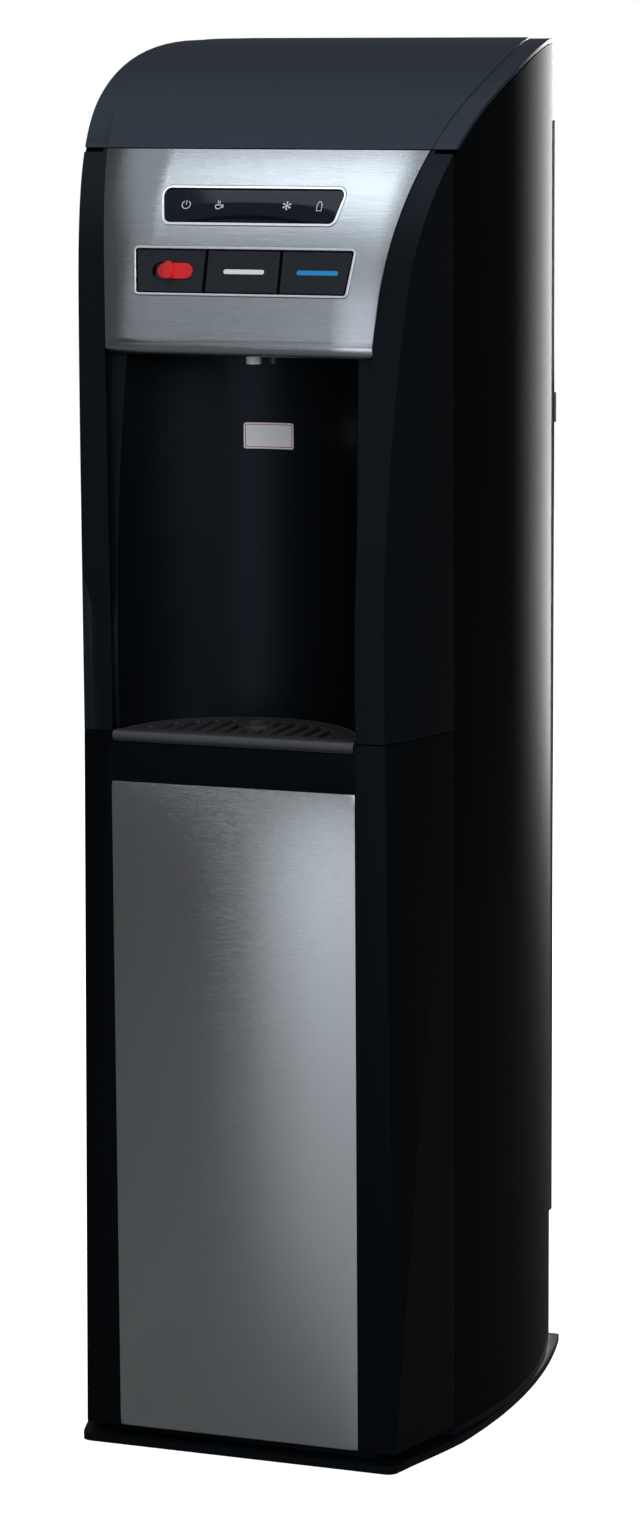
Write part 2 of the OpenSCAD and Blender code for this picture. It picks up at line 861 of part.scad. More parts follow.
// Strike plate on the liner, and the magnet catch that holds it on the front rail
catch_x = 105;
catch_w = 26;
catch_z = shelf_z - rail_h / 2;
strike_t = 1.2;

module door_strike() {
    color([0.6, 0.6, 0.62]) translate([catch_x, 0, catch_z])
        through_y(liner_back, liner_back + strike_t) rounded_2d(catch_w, 14, 2);
}

module magnet_catch() {
    color([0.15, 0.15, 0.16]) translate([catch_x, 0, catch_z])
        through_y(liner_back + strike_t + fit, post_y0) rounded_2d(catch_w - 2, 12, 1.5);
}

// Hinge pins: the lower one stands in the base, the upper one hangs from the surround
module hinge_pins() {
    color([0.7, 0.7, 0.72]) {
        hinge_post(rim_top - deck_t + 1, door_z + 13, pin_r);
        hinge_post(base_top, door_z - fit, hinge_r - 1);
        hinge_post(door_z1 - 13, surround_z0 + 14, pin_r);
    }
}

// Steel fascia: a thin sheet on the front curve, its lower edge rolled back into a lip
lip_a = asin((lip_z + lip_r - crest_z) / (crest_r1 - lip_r));
lip_c = crest_c1 + (crest_r1 - lip_r) * lean(lip_a);
lip_corner_r = 11;

module lip_2d() {
    difference() {
        translate(lip_c) circle(r = lip_r, $fn = 96);
        translate(lip_c) circle(r = lip_r - fascia_t, $fn = 96);
        translate(lip_c) square(2 * lip_r);
        translate(lip_c) rotate(-lip_a) translate([-2 * lip_r, 0]) square(2 * lip_r);
    }
}

module fascia() {
    color([0.66, 0.67, 0.69]) difference() {
        intersection() {
            union() {
                intersection() {
                    crest_sheet(0, fascia_t);
                    translate([-far / 2, 0, 0]) rotate([90, 0, 90]) linear_extrude(far)
                        translate(lip_c) rotate(-lip_a) translate([-far, 0]) square([2 * far, far]);
                }
                translate([-far / 2, 0, 0]) rotate([90, 0, 90]) linear_extrude(far) lip_2d();
            }
            slab(0, surround_z1) middle_2d(fit, face_y);
            through_y(face_y, rear_y) {
                translate([-far, lip_z + lip_corner_r]) square([2 * far, height]);
                translate([0, lip_z + lip_corner_r])
                    pill_2d(2 * strip_x(lip_c[0]) - 2 * fit, 2 * lip_corner_r);
            }
        }
        bay_block(-20, 40, bezel_w + fit);
        window_block(bezel_w + fit);
    }
}

// Display: a bright bezel, a dark window that follows the curve and a board with four lamps
bezel_w = 1.8;
bezel_proud = 0.8;
bezel_deep = 6;
window_in = 0.6;
window_t = 2;
lamp_x = [-53, -26, 28, 54];

module window_bezel() {
    color([0.75, 0.76, 0.78]) intersection() {
        crest_sheet(-bezel_proud, bezel_deep + bezel_proud);
        difference() {
            window_block(bezel_w);
            window_block();
        }
    }
}

module display_window() {
    color([0.02, 0.02, 0.03]) intersection() {
        crest_sheet(window_in, window_t);
        window_block();
    }
}

lamp_r = 2.5;
board_y = bezel_deep + 2;
board_t = 1.6;
board_half = window_half_top + 4;

module at_window() {
    translate([0, crest_y(window_z), window_z]) rotate([-window_lean, 0, 0]) children();
}

module display_board() {
    color([0.05, 0.25, 0.15]) at_window() {
        box(-board_half, board_half, board_y, board_y + board_t, -15, 15);
        for (x = lamp_x) translate([x, 0, 0])
            through_y(bezel_deep - 1, board_y) circle(r = lamp_r, $fn = 32);
        for (s = [-1, 1]) translate([s * window_half_bottom, 0, 0])
            box(-2, 2, seat_in + seat_t + 0.7, board_y, -15, -13.5);
    }
}

// Button bay: a bright frame, a housing behind it and a row of small switches
cap_y = 0.4;
cap_depth = 10;
cap_wall = 2;
cap_gap = 0.5;
housing_y = 18;
housing_t = 2;
cap_edges = [[-90, -29.9], [-29.4, 30], [30.5, 90]];
switch_y = cap_y + cap_depth + button_travel + fit;

module bay_ring(y0, y1) {
    at_bay() through_y(y0, y1) difference() {
        bay_2d(bezel_w);
        bay_2d();
    }
}

module button_bezel() {
    color([0.78, 0.79, 0.81]) bay_ring(-0.3, bezel_deep);
}

module button_housing() {
    color([0.1, 0.1, 0.1]) {
        bay_ring(bezel_deep, housing_y);
        at_bay() through_y(housing_y, housing_y + housing_t) bay_2d(bezel_w);
    }
}

module button_switches() {
    color([0.3, 0.3, 0.32]) at_bay() for (x = [-57, 0, 58]) {
        translate([x, 0, 0]) through_y(switch_y + 1, housing_y) square([12, 10], center = true);
        translate([x, 0, 0]) through_y(switch_y, switch_y + 1) circle(r = 2, $fn = 32);
    }
}

// A push button: a shallow cap with a cross bar at the back that reaches for the switch
module cap(i) {
    x0 = cap_edges[i][0];
    x1 = cap_edges[i][1];
    through_y(cap_y, cap_y + cap_depth) intersection() {
        bay_2d(-cap_gap);
        translate([x0, -bay_h]) square([x1 - x0, 2 * bay_h]);
    }
}

module cap_hollow(i) {
    x0 = cap_edges[i][0] + cap_wall;
    x1 = cap_edges[i][1] - cap_wall;
    through_y(cap_y + cap_wall, cap_y + cap_depth + 1) intersection() {
        bay_2d(-cap_gap - cap_wall);
        translate([x0, -bay_h]) square([x1 - x0, 2 * bay_h]);
    }
}

module cap_bar(x) {
    translate([x, 0, 0]) through_y(cap_y + cap_depth - 2, cap_y + cap_depth)
        square([8, bay_h - 2 * cap_gap - cap_wall], center = true);
}

module bar_2d() {
    pill_2d(bar_w, bar_h);
}

bar_w = 34;
bar_h = 3.8;
bar_deep = 0.8;
bar_x = [0, 1.4, 60];

module bar_cap(i) {
    difference() {
        cap(i);
        cap_hollow(i);
        translate([bar_x[i], 0, 0]) through_y(cap_y - 1, cap_y + bar_deep) bar_2d();
    }
    cap_bar(bar_x[i]);
}

module room_button() {
    color([0.16, 0.16, 0.18]) at_bay() bar_cap(1);
}

module cold_button() {
    color([0.16, 0.16, 0.18]) at_bay() bar_cap(2);
}

module room_bar() {
    color([0.93, 0.93, 0.92]) at_bay() translate([bar_x[1], 0, 0])
        through_y(cap_y, cap_y + bar_deep) bar_2d();
}

module cold_bar() {
    color([0.15, 0.6, 0.85]) at_bay() translate([bar_x[2], 0, 0])
        through_y(cap_y, cap_y + bar_deep) bar_2d();
}

// Child lock: a red slider in a slot of the hot button, held by a flange behind the slot
slot_x = -55.8;
slot_len = 34.2;
slot_h = 13.9;
slider_len = 28.8;
slider_h = 12.6;
slider_x = slot_x + (slot_len - slider_len) / 2 - fit;
ridge_w = 8;
ridge_x = -5;
ridge_proud = 4;
slider_proud = 0.8;

module hot_button() {
    color([0.16, 0.16, 0.18]) at_bay() {
        difference() {
            cap(0);
            cap_hollow(0);
            translate([slot_x, 0, 0]) through_y(cap_y - 1, cap_y + cap_wall + 1) pill_2d(slot_len, slot_h);
        }
        cap_bar(slot_x - 1);
    }
}

module lock_slider() {
    color([0.7, 0.07, 0.06]) at_bay() translate([slider_x, 0, 0]) {
        through_y(cap_y - slider_proud, cap_y + cap_wall + fit) pill_2d(slider_len, slider_h);
        through_y(cap_y + cap_wall + fit, cap_y + cap_wall + 1.8)
            square([slider_len + 6, slot_h + 4], center = true);
        translate([ridge_x, 0, 0]) through_y(cap_y - ridge_proud, cap_y - fit)
            rotate(90) pill_2d(slider_h + 1.4, ridge_w);
    }
}

// Spouts: a white one for cool water and a narrow black one for hot water
manifold_z = alcove_top + 9;
valve_z = manifold_z + 4;
valve_w = 18;
valve_top = valve_z + 20;
over_valves = valve_top + 19;
valve_y0 = corner_y + 46;
valve_y1 = corner_y + 76;

module spout(x, r, bore, z) {
    difference() {
        union() {
            post_at([x, spout_y], z, manifold_z, r);
            post_at([x, spout_y], alcove_top + liner_t, alcove_top + liner_t + 2, r + 1.5);
        }
        post_at([x, spout_y], z - 1, manifold_z + 1, bore);
    }
}

module nozzle() {
    color([0.92, 0.92, 0.9]) spout(0, spout_r, 4, alcove_top - 14);
}

module hot_spout() {
    color([0.08, 0.08, 0.08]) spout(spout_x2, spout_r2, 2, alcove_top - 10);
}

// Blank plate: a plain bordered label plate on the alcove wall
plate_x = -4.5;
plate_z = alcove_top - 69;
plate_w = 40;
plate_h = 20;
plate_t = 0.8;
plate_gap = 0.05;

module blank_plate() {
    color([0.9, 0.9, 0.89]) intersection() {
        slab(alcove_floor, alcove_top) difference() {
            alcove_2d(alcove_r - plate_gap);
            alcove_2d(alcove_r - plate_t);
        }
        translate([plate_x, 0, plate_z]) through_y(alcove_y, rear_y) rounded_2d(plate_w, plate_h, 2);
    }
}

// Three water valves on one block over the spouts
valve_x = [-20, 0, 20];

module outlet_valves() {
    color([0.85, 0.85, 0.82]) {
        box(-29, 29, valve_y0, valve_y0 + 16, manifold_z, valve_z);
        for (x = valve_x) {
            box(x - valve_w / 2, x + valve_w / 2, valve_y0, valve_y1, valve_z, valve_top);
            translate([x, 0, (valve_z + valve_top) / 2])
                through_y(valve_y1, valve_y1 + 24) circle(r = 8, $fn = 48);
        }
        for (s = [-1, 1]) translate([s * 26, 0, 0])
            box(-3, 3, valve_y0 + 12, valve_y0 + 16, alcove_top + liner_t, manifold_z);
    }
}

// Works above the shelves: two tanks, a compressor, a pump and the lines between them
cold_at = [-58, corner_y + 240];
hot_at = [90, corner_y + 240];
comp_at = [84, corner_y + 262];
pump_at = [-80, bulge_y];
shelf_top = shelf_z + shelf_t;
mount_h = 12;
compressor_room = 41.4;
tank_shelf_z = shelf_top + mount_h + compressor_h + compressor_room;
works_z = tank_shelf_z + shelf_t;
hose_r = 5;
riser_at = [-80, corner_y + 135];
cold_in = cold_at + [-18, 0];
cold_out = cold_at + [18, 0];
drier_at = [-line_x, line_y - 40];
drier_z0 = shelf_top + 35.4;
drier_z1 = drier_z0 + 78;
capillary_r = 1.5;
cold_z = works_z + foam_t;
foam_top = cold_z + tank_h + foam_t;

module cold_tank() {
    color([0.75, 0.76, 0.77]) {
        post_at(cold_at, cold_z, cold_z + tank_h, cold_tank_r);
        for (at = [cold_in, cold_out]) post_at(at, cold_z + tank_h, foam_top, hose_r);
    }
}

module cold_tank_foam() {
    color([0.9, 0.88, 0.8]) difference() {
        post_at(cold_at, works_z, foam_top, cold_tank_r + foam_t);
        post_at(cold_at, cold_z, cold_z + tank_h, cold_tank_r);
        for (at = [cold_in, cold_out]) {
            post_at(at, cold_z + tank_h - 1, foam_top + 1, hose_r);
            post_at(at, works_z - 1, cold_z + 1, coil_r + 1);
        }
    }
}

module hot_tank() {
    color([0.7, 0.71, 0.72]) {
        post_at(hot_at, works_z, works_z + tank_h, hot_tank_r);
        post_at(hot_at, works_z + tank_h, works_z + tank_h + 8, 16);
    }
}

module tank_shelf() {
    color([0.5, 0.51, 0.53]) difference() {
        union() {
            slab(tank_shelf_z, works_z) body_2d(sheet, corner_y + 108, rear_y - 2 * sheet);
            slab(tank_shelf_z - 10, tank_shelf_z) difference() {
                body_2d(sheet, corner_y + 108, rear_y - 2 * sheet);
                body_2d(sheet + shelf_t, corner_y + 108 + shelf_t, rear_y - 2 * sheet - shelf_t);
            }
        }
        post_at(riser_at, tank_shelf_z - 20, works_z + 1, hose_r + 2);
        post_at([drain_at[0], line_y], tank_shelf_z - 20, works_z + 1, hose_r + 2);
        post_at([-line_x, line_y], tank_shelf_z - 20, works_z + 1, coil_r + 4);
        for (at = [cold_in, cold_out]) post_at(at, tank_shelf_z - 20, works_z + 1, coil_r + 4);
    }
}

module compressor() {
    z0 = shelf_top + mount_h;
    color([0.08, 0.08, 0.09]) {
        translate([comp_at[0], comp_at[1], z0]) slab(0, 3) rounded_2d(116, 100, 14);
        intersection() {
            post_at(comp_at, z0 + 3, z0 + compressor_h, compressor_r);
            translate([comp_at[0], comp_at[1], z0 + compressor_h - 1.35 * compressor_r])
                sphere(r = 1.35 * compressor_r, $fn = 96);
        }
        post_at(comp_at, z0 + compressor_h - 6, z0 + compressor_h + 4, coil_r + 2);
    }
}

module compressor_mounts() {
    color([0.1, 0.1, 0.1]) for (sx = [-1, 1], sy = [-1, 1])
        post_at(comp_at + [sx * 46, sy * 38], shelf_top, shelf_top + mount_h, 9);
}

module filter_drier() {
    color([0.72, 0.45, 0.25]) post_at(drier_at, drier_z0, drier_z1, 10);
}

module refrigerant_lines() {
    shell_x = comp_at[0] - compressor_r;
    coil_y = rear_y + coil_back;
    comp_top = shelf_top + mount_h + compressor_h + 4;
    out_z = shelf_top + 83.4;
    low_z = shelf_top + 19.4;
    back_z = tank_shelf_z - 22;
    thin_z = tank_shelf_z - 40;
    color([0.72, 0.45, 0.25]) {
        pipe([
            [shell_x, comp_at[1], out_z],
            [shell_x - 14, comp_at[1], out_z],
            [shell_x - 14, line_y - 16, out_z],
            [-line_x, line_y - 16, out_z],
            [-line_x, line_y, out_z + 40],
            [-line_x, line_y, coil_z1],
            [-line_x, coil_y, coil_z1]
        ], coil_r);
        pipe([
            [-line_x, coil_y, coil_z0],
            [-line_x, line_y, coil_z0],
            [-line_x, line_y, low_z],
            [drier_at[0], drier_at[1], low_z],
            [drier_at[0], drier_at[1], drier_z0]
        ], coil_r);
        pipe([
            [drier_at[0], drier_at[1], drier_z1],
            [drier_at[0], drier_at[1], thin_z],
            [cold_in[0], cold_in[1], thin_z],
            [cold_in[0], cold_in[1], cold_z]
        ], capillary_r);
        pipe([
            [cold_out[0], cold_out[1], cold_z],
            [cold_out[0], cold_out[1], back_z],
            [comp_at[0], comp_at[1], back_z],
            [comp_at[0], comp_at[1], comp_top]
        ], coil_r);
    }
}

module bottle_pump() {
    color([0.2, 0.2, 0.22]) {
        translate([pump_at[0], pump_at[1], shelf_top]) slab(0, 40) rounded_2d(60, 50, 6);
        post_at(pump_at, shelf_top + 40, shelf_top + 62, 22);
    }
}

module water_lines() {
    drain_z = works_z + 14;
    rise_z = shelf_top + 103.4;
    color([0.85, 0.86, 0.87]) {
        pipe([
            [0, bulge_y, hose_top],
            [0, bulge_y, shelf_top + 38 - hose_r],
            [pump_at[0] + 30, bulge_y, shelf_top + 38 - hose_r]
        ], hose_r);
        pipe([
            [pump_at[0], pump_at[1], shelf_top + 62],
            [pump_at[0], pump_at[1], rise_z],
            [riser_at[0], riser_at[1], rise_z],
            [riser_at[0], riser_at[1], foam_top + 14],
            [cold_in[0], cold_in[1], foam_top + 14],
            [cold_in[0], cold_in[1], foam_top]
        ], hose_r);
        pipe([
            [riser_at[0], riser_at[1], drain_z],
            [hot_at[0], riser_at[1], drain_z],
            [hot_at[0], hot_at[1] - hot_tank_r, drain_z]
        ], hose_r);
        pipe([
            [riser_at[0], riser_at[1], over_valves],
            [valve_x[0], riser_at[1] - 30, over_valves],
            [valve_x[0], valve_y1 - 10, over_valves],
            [valve_x[0], valve_y1 - 10, valve_top]
        ], hose_r);
        pipe([
            [cold_out[0], cold_out[1], foam_top],
            [cold_out[0], cold_out[1], foam_top + 20],
            [valve_x[1], corner_y + 130, foam_top + 20],
            [valve_x[1], valve_y1 - 10, over_valves],
            [valve_x[1], valve_y1 - 10, valve_top]
        ], hose_r);
        pipe([
            [hot_at[0], hot_at[1], works_z + tank_h + 8],
            [hot_at[0], hot_at[1], works_z + tank_h + 24],
            [valve_x[2], corner_y + 130, works_z + tank_h + 24],
            [valve_x[2], valve_y1 - 10, over_valves],
            [valve_x[2], valve_y1 - 10, valve_top]
        ], hose_r);
        pipe([
            [hot_at[0], hot_at[1] + hot_tank_r, drain_z],
            [hot_at[0], line_y, drain_z],
            [drain_at[0], line_y, drain_z],
            [drain_at[0], line_y, drain_at[1]],
            [drain_at[0], rear_y - 10, drain_at[1]]
        ], hose_r);
    }
}

// Probe: a cap for the neck of the bottle with a dip tube, parked in a fork under the shelf
probe_tube_r = 8;
probe_cap_r = 27;
fork_z = shelf_z - 41;
probe_top = fork_z + 18;
probe_z = base_top + 91;
hose_top = shelf_top + 8;

module probe_hanger() {
    color([0.55, 0.56, 0.58]) {
        difference() {
            box(-36, 36, bulge_y - 22, bulge_y + 30, fork_z, fork_z + 2);
            box(-probe_tube_r - 1, probe_tube_r + 1, bulge_y - 23, bulge_y, fork_z - 1, fork_z + 3);
            post_at([0, bulge_y], fork_z - 1, fork_z + 3, probe_tube_r + 1);
        }
        for (s = [0, 1]) mirror([s, 0, 0]) {
            box(34, 36, bulge_y - 22, bulge_y + 30, fork_z, shelf_z);
            box(34, 46, bulge_y - 22, bulge_y + 30, shelf_z - 2, shelf_z);
        }
    }
}

module bottle_probe() {
    color([0.9, 0.9, 0.88]) {
        difference() {
            post_at([0, bulge_y], fork_z + 2 + fit, probe_top, probe_cap_r);
            post_at([0, bulge_y], fork_z, probe_top - 3, probe_cap_r - 3);
        }
        difference() {
            post_at([0, bulge_y], probe_z, probe_top - 3 + eps, probe_tube_r);
            post_at([0, bulge_y], probe_z - 1, probe_top - 4, probe_tube_r - 2);
        }
    }
}

module probe_hose() {
    color([0.8, 0.82, 0.84]) post_at([0, bulge_y], probe_top, hose_top, hose_r);
}

// Power box on the rear panel, the two rocker switches and the cord inlet
box_half = 52;
box_deep = 80;

module power_box() {
    color([0.3, 0.31, 0.33])
        box(-box_half, box_half, rear_y - box_deep, rear_y - sheet, foam_top + 2.4, switch_z - 21);
}

rocker_w = 13;
rocker_h = 20;
rocker_tilt = 8;

module at_switch(s) {
    translate([s * switch_x, rear_y, switch_z]) children();
}

module switch_frames() {
    color([0.05, 0.05, 0.05]) for (s = [-1, 1]) at_switch(s) difference() {
        union() {
            through_y(0, 2) square([switch_body_w + 4, switch_body_h + 4], center = true);
            through_y(-18, 0) square([switch_body_w - fit, switch_body_h - fit], center = true);
        }
        through_y(-16, 3) square([rocker_w + 2 * fit, rocker_h + 1.4], center = true);
    }
}

module rocker(s) {
    at_switch(s) rotate([rocker_tilt, 0, 0]) translate([-rocker_w / 2, 0, 0])
        rotate([90, 0, 90]) linear_extrude(rocker_w) {
        polygon([
            [0, -rocker_h / 2],
            [3.4, -rocker_h / 2],
            [2.2, 0],
            [3.4, rocker_h / 2],
            [0, rocker_h / 2]
        ]);
        intersection() {
            circle(r = 7, $fn = 48);
            translate([-8, -8]) square([9, 16]);
        }
    }
}

module hot_switch() {
    color([0.7, 0.06, 0.05]) rocker(-1);
}

module cold_switch() {
    color([0.1, 0.45, 0.2]) rocker(1);
}

// Condenser: one tube bent to and fro, with straight wires over it, held by two side rails
coil_back = 8;
wire_gap = 0.05;
rail_x0 = 131;
rail_x1 = side_x(rear_y);
rail_z0 = 113;
rail_z1 = height - 66;
spacer_z = height - 297;

// A U-bend of the tube, open towards -X
module coil_bend() {
    intersection() {
        rotate([90, 0, 0]) rotate_extrude($fn = 96)
            translate([coil_pitch / 2, 0]) circle(r = coil_r, $fn = 24);
        box(0, coil_pitch, -2 * coil_r, 2 * coil_r, -coil_pitch, coil_pitch);
    }
}

module condenser_coil() {
    color([0.06, 0.06, 0.06]) translate([0, rear_y + coil_back, coil_z0]) {
        for (i = [1 : coil_runs - 2]) translate([-line_x, 0, i * coil_pitch]) rotate([0, 90, 0])
            cylinder(r = coil_r, h = 2 * line_x, $fn = 24);
        for (i = [0, coil_runs - 1]) translate([coil_r - line_x, 0, i * coil_pitch]) rotate([0, 90, 0])
            cylinder(r = coil_r, h = 2 * line_x - coil_r, $fn = 24);
        for (i = [0 : coil_runs - 2]) mirror([i % 2, 0, 0])
            translate([line_x, 0, (i + 0.5) * coil_pitch]) coil_bend();
    }
}

wire_pitch = 8;
wire_off = coil_r + wire_r + wire_gap;

module condenser_wires() {
    n = floor(line_x / wire_pitch) - 1;
    color([0.08, 0.08, 0.08]) for (s = [-1, 1], i = [-n : n])
        post_at([i * wire_pitch, rear_y + coil_back + s * wire_off], rail_z0, rail_z1, wire_r);
}

module condenser_rails() {
    color([0.07, 0.07, 0.07]) for (s = [0, 1]) mirror([s, 0, 0]) {
        box(rail_x0, rail_x1, rear_y, rear_y + sheet, rail_z0, rail_z1);
        box(rail_x1 - sheet, rail_x1, rear_y, rear_y + coil_back, rail_z0, rail_z1);
        for (i = [1, coil_runs - 2]) translate([0, 0, coil_z0 + i * coil_pitch])
            box(line_x - 6, rail_x1, rear_y, rear_y + coil_back - coil_r, -4, 4);
        box(rail_x0 - 4, rail_x1, rear_y, rear_y + standoff, spacer_z - 12, spacer_z + 12);
    }
}

// Cord inlet and drain: both low on the rear panel
module power_gland() {
    color([0.06, 0.06, 0.06]) translate([gland_at[0], rear_y, gland_at[1]]) difference() {
        union() {
            through_y(-10, 6) circle(r = gland_r, $fn = 48);
            through_y(0, 3) circle(r = gland_r + 4, $fn = 48);
        }
        through_y(-11, 7) circle(r = 3.5, $fn = 48);
    }
}

module drain_outlet() {
    color([0.85, 0.85, 0.83]) translate([drain_at[0], rear_y, drain_at[1]]) difference() {
        union() {
            through_y(-10, 9) circle(r = drain_r, $fn = 48);
            through_y(0, 1.5) circle(r = drain_r + 4, $fn = 48);
        }
        through_y(-8, 10) circle(r = drain_r - 2, $fn = 48);
    }
}

module drain_cap() {
    color([0.1, 0.1, 0.1]) translate([drain_at[0], rear_y, drain_at[1]]) difference() {
        union() {
            through_y(1.5 + fit, 12) circle(r = drain_r + 3, $fn = 48);
            through_y(6, 12) square([26, 5], center = true);
        }
        through_y(1, 9 + fit) circle(r = drain_r + pin_play, $fn = 48);
    }
}

// Each piece, drawn alone or in the whole
base();
rubber_feet();
bottle_guide();
left_side_panel();
right_side_panel();
rear_panel();
side_posts();
front_rail();
mid_shelf();
front_surround();
top_cover();
alcove_liner();
drip_tray();
drip_grille();
door_shell();
door_skin();
door_liner();
door_strike();
hinge_pins();
magnet_catch();
fascia();
window_bezel();
display_window();
display_board();
button_bezel();
button_housing();
button_switches();
hot_button();
room_button();
cold_button();
lock_slider();
room_bar();
cold_bar();
nozzle();
hot_spout();
blank_plate();
outlet_valves();
water_lines();
cold_tank();
cold_tank_foam();
hot_tank();
tank_shelf();
compressor();
compressor_mounts();
filter_drier();
refrigerant_lines();
bottle_pump();
probe_hanger();
bottle_probe();
probe_hose();
power_box();
switch_frames();
hot_switch();
cold_switch();
condenser_coil();
condenser_wires();
condenser_rails();
power_gland();
drain_outlet();
drain_cap();
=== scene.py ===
# Bottom-load water dispenser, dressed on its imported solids.
import json
from math import asin, cos, radians, sin, sqrt

import bmesh
import bpy
from mathutils import Matrix, Vector


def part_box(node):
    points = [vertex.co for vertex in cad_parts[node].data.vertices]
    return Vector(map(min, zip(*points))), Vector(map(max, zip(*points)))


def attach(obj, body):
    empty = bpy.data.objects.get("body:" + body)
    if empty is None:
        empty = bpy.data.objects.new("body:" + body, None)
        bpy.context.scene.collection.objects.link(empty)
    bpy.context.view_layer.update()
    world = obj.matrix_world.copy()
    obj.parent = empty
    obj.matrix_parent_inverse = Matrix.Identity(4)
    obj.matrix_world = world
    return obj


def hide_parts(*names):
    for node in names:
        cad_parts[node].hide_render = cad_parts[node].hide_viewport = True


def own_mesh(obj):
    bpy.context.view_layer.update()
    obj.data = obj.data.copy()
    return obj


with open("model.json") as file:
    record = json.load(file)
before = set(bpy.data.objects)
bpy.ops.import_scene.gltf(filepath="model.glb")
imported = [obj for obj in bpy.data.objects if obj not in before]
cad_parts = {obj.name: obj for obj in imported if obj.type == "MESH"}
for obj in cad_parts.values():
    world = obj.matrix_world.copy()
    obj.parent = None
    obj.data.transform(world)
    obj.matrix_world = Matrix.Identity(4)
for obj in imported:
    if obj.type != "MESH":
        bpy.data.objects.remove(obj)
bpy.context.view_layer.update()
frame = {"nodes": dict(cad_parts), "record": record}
scene = bpy.context.scene
scene.view_settings.view_transform = "Standard"

# The camera stands to the right of the dispenser, a little higher than its hood, and looks
# down at it through a long lens. The roll is the small tilt of the hand that held it.
EYE = Vector((1.2024, -3.22385, 1.1138))
YAW, PITCH, ROLL = radians(20.415), radians(9.798), radians(-0.36)
FILM_WIDTH, FOCAL_LENGTH = 36, 104.49
ahead = Vector((-sin(YAW) * cos(PITCH), cos(YAW) * cos(PITCH), -sin(PITCH)))
level = Vector((cos(YAW), sin(YAW), 0))
upward = level.cross(ahead)
across = level * cos(ROLL) + upward * sin(ROLL)
upward = upward * cos(ROLL) - level * sin(ROLL)
lens = bpy.data.cameras.new("camera")
lens.sensor_width = FILM_WIDTH
lens.lens = FOCAL_LENGTH
lens.clip_end = 50
camera = bpy.data.objects.new("camera", lens)
turn = Matrix((across, upward, -ahead)).transposed().to_4x4()
camera.matrix_world = Matrix.Translation(EYE) @ turn
scene.collection.objects.link(camera)
scene.camera = camera


# The studio: seven plain soft boxes round a wide white floor, in a dim grey room. The two low
# ones in front give the steel door its pair of upright reflections, the three above light the
# hood and the fascia, and one each stands at the right and behind.
def soft_box(name, place, aim, size, power, colour=(1, 1, 1), spin=0):
    """A soft box, its size across and up in metres and its power in watts, aimed at a point."""
    lamp = bpy.data.lights.new(name, "AREA")
    lamp.shape = "RECTANGLE"
    lamp.size, lamp.size_y = size
    lamp.energy = power
    lamp.color = colour
    holder = bpy.data.objects.new(name, lamp)
    turned = (Vector(aim) - Vector(place)).to_track_quat("-Z", "Y").to_matrix().to_4x4()
    turned = turned @ Matrix.Rotation(radians(spin), 4, "Z")
    holder.matrix_world = Matrix.Translation(place) @ turned
    scene.collection.objects.link(holder)


COOL = (0.86, 0.93, 1)
soft_box("dim_box", (-0.5, -2.4, 0.66), (-0.5, 0, 0.66), (0.42, 1.3), 1.9, COOL)
soft_box("bright_box", (0.23, -2.4, 0.66), (0.23, 0, 0.66), (1.04, 1.3), 7.4, COOL)
soft_box("upper_box", (-0.85, -2.8, 2.0), (-0.85, 0, 1.4), (3.5, 1.3), 6.5, COOL)
soft_box("top_box", (-0.16, -1.02, 3.0), (-0.16, -1.02, 0), (1.64, 1.2), 14, COOL, spin=-9)
soft_box("ceiling", (-0.3, -0.6, 3.4), (-0.3, -0.6, 0), (5, 5), 34, COOL)
soft_box("key_box", (2.8, -1.9, 2.3), (0, 0, 0.9), (2.8, 2.6), 80)
soft_box("back_box", (0, 3.0, 0.8), (0, 0, 0.6), (0.7, 1.6), 45)

# The room beyond the floor is white to the camera. To the dispenser it is dim and grey, and
# fills the shadows a little.
ROOM_STRENGTH = 0.13
room = bpy.data.worlds.new("room")
scene.world = room
room.use_nodes = True
nodes, links = room.node_tree.nodes, room.node_tree.links
nodes.clear()
out = nodes.new("ShaderNodeOutputWorld")
seen = nodes.new("ShaderNodeBackground")
seen.inputs["Color"].default_value = (1, 1, 1, 1)
lit = nodes.new("ShaderNodeBackground")
lit.inputs["Color"].default_value = (0.72, 0.74, 0.78, 1)
lit.inputs["Strength"].default_value = ROOM_STRENGTH
mix = nodes.new("ShaderNodeMixShader")
ray = nodes.new("ShaderNodeLightPath")
links.new(ray.outputs["Is Camera Ray"], mix.inputs["Fac"])
links.new(lit.outputs[0], mix.inputs[1])
links.new(seen.outputs[0], mix.inputs[2])
links.new(mix.outputs[0], out.inputs["Surface"])

# The floor is white paper with a glow for the camera alone, so that it keeps the shadow. To
# the dispenser it is darker, and throws little light back up.
FLOOR_HALF = 6
floor_sheet = bmesh.new()
bmesh.ops.create_grid(floor_sheet, x_segments=1, y_segments=1, size=FLOOR_HALF)
floor_mesh = bpy.data.meshes.new("floor")
floor_sheet.to_mesh(floor_mesh)
floor_sheet.free()
floor = bpy.data.objects.new("floor", floor_mesh)
scene.collection.objects.link(floor)
paper = bpy.data.materials.new("paper")
paper.use_nodes = True
nodes, links = paper.node_tree.nodes, paper.node_tree.links
nodes.clear()
out = nodes.new("ShaderNodeOutputMaterial")
sheet_look = nodes.new("ShaderNodeBsdfDiffuse")
sheet_look.inputs["Color"].default_value = (0.86, 0.86, 0.86, 1)
bounce = nodes.new("ShaderNodeBsdfDiffuse")
bounce.inputs["Color"].default_value = (0.2, 0.2, 0.2, 1)
glow = nodes.new("ShaderNodeEmission")
glow.inputs["Color"].default_value = (1, 1, 1, 1)
glow.inputs["Strength"].default_value = 1.0
both = nodes.new("ShaderNodeAddShader")
mix = nodes.new("ShaderNodeMixShader")
ray = nodes.new("ShaderNodeLightPath")
links.new(ray.outputs["Is Camera Ray"], mix.inputs["Fac"])
links.new(sheet_look.outputs[0], both.inputs[0])
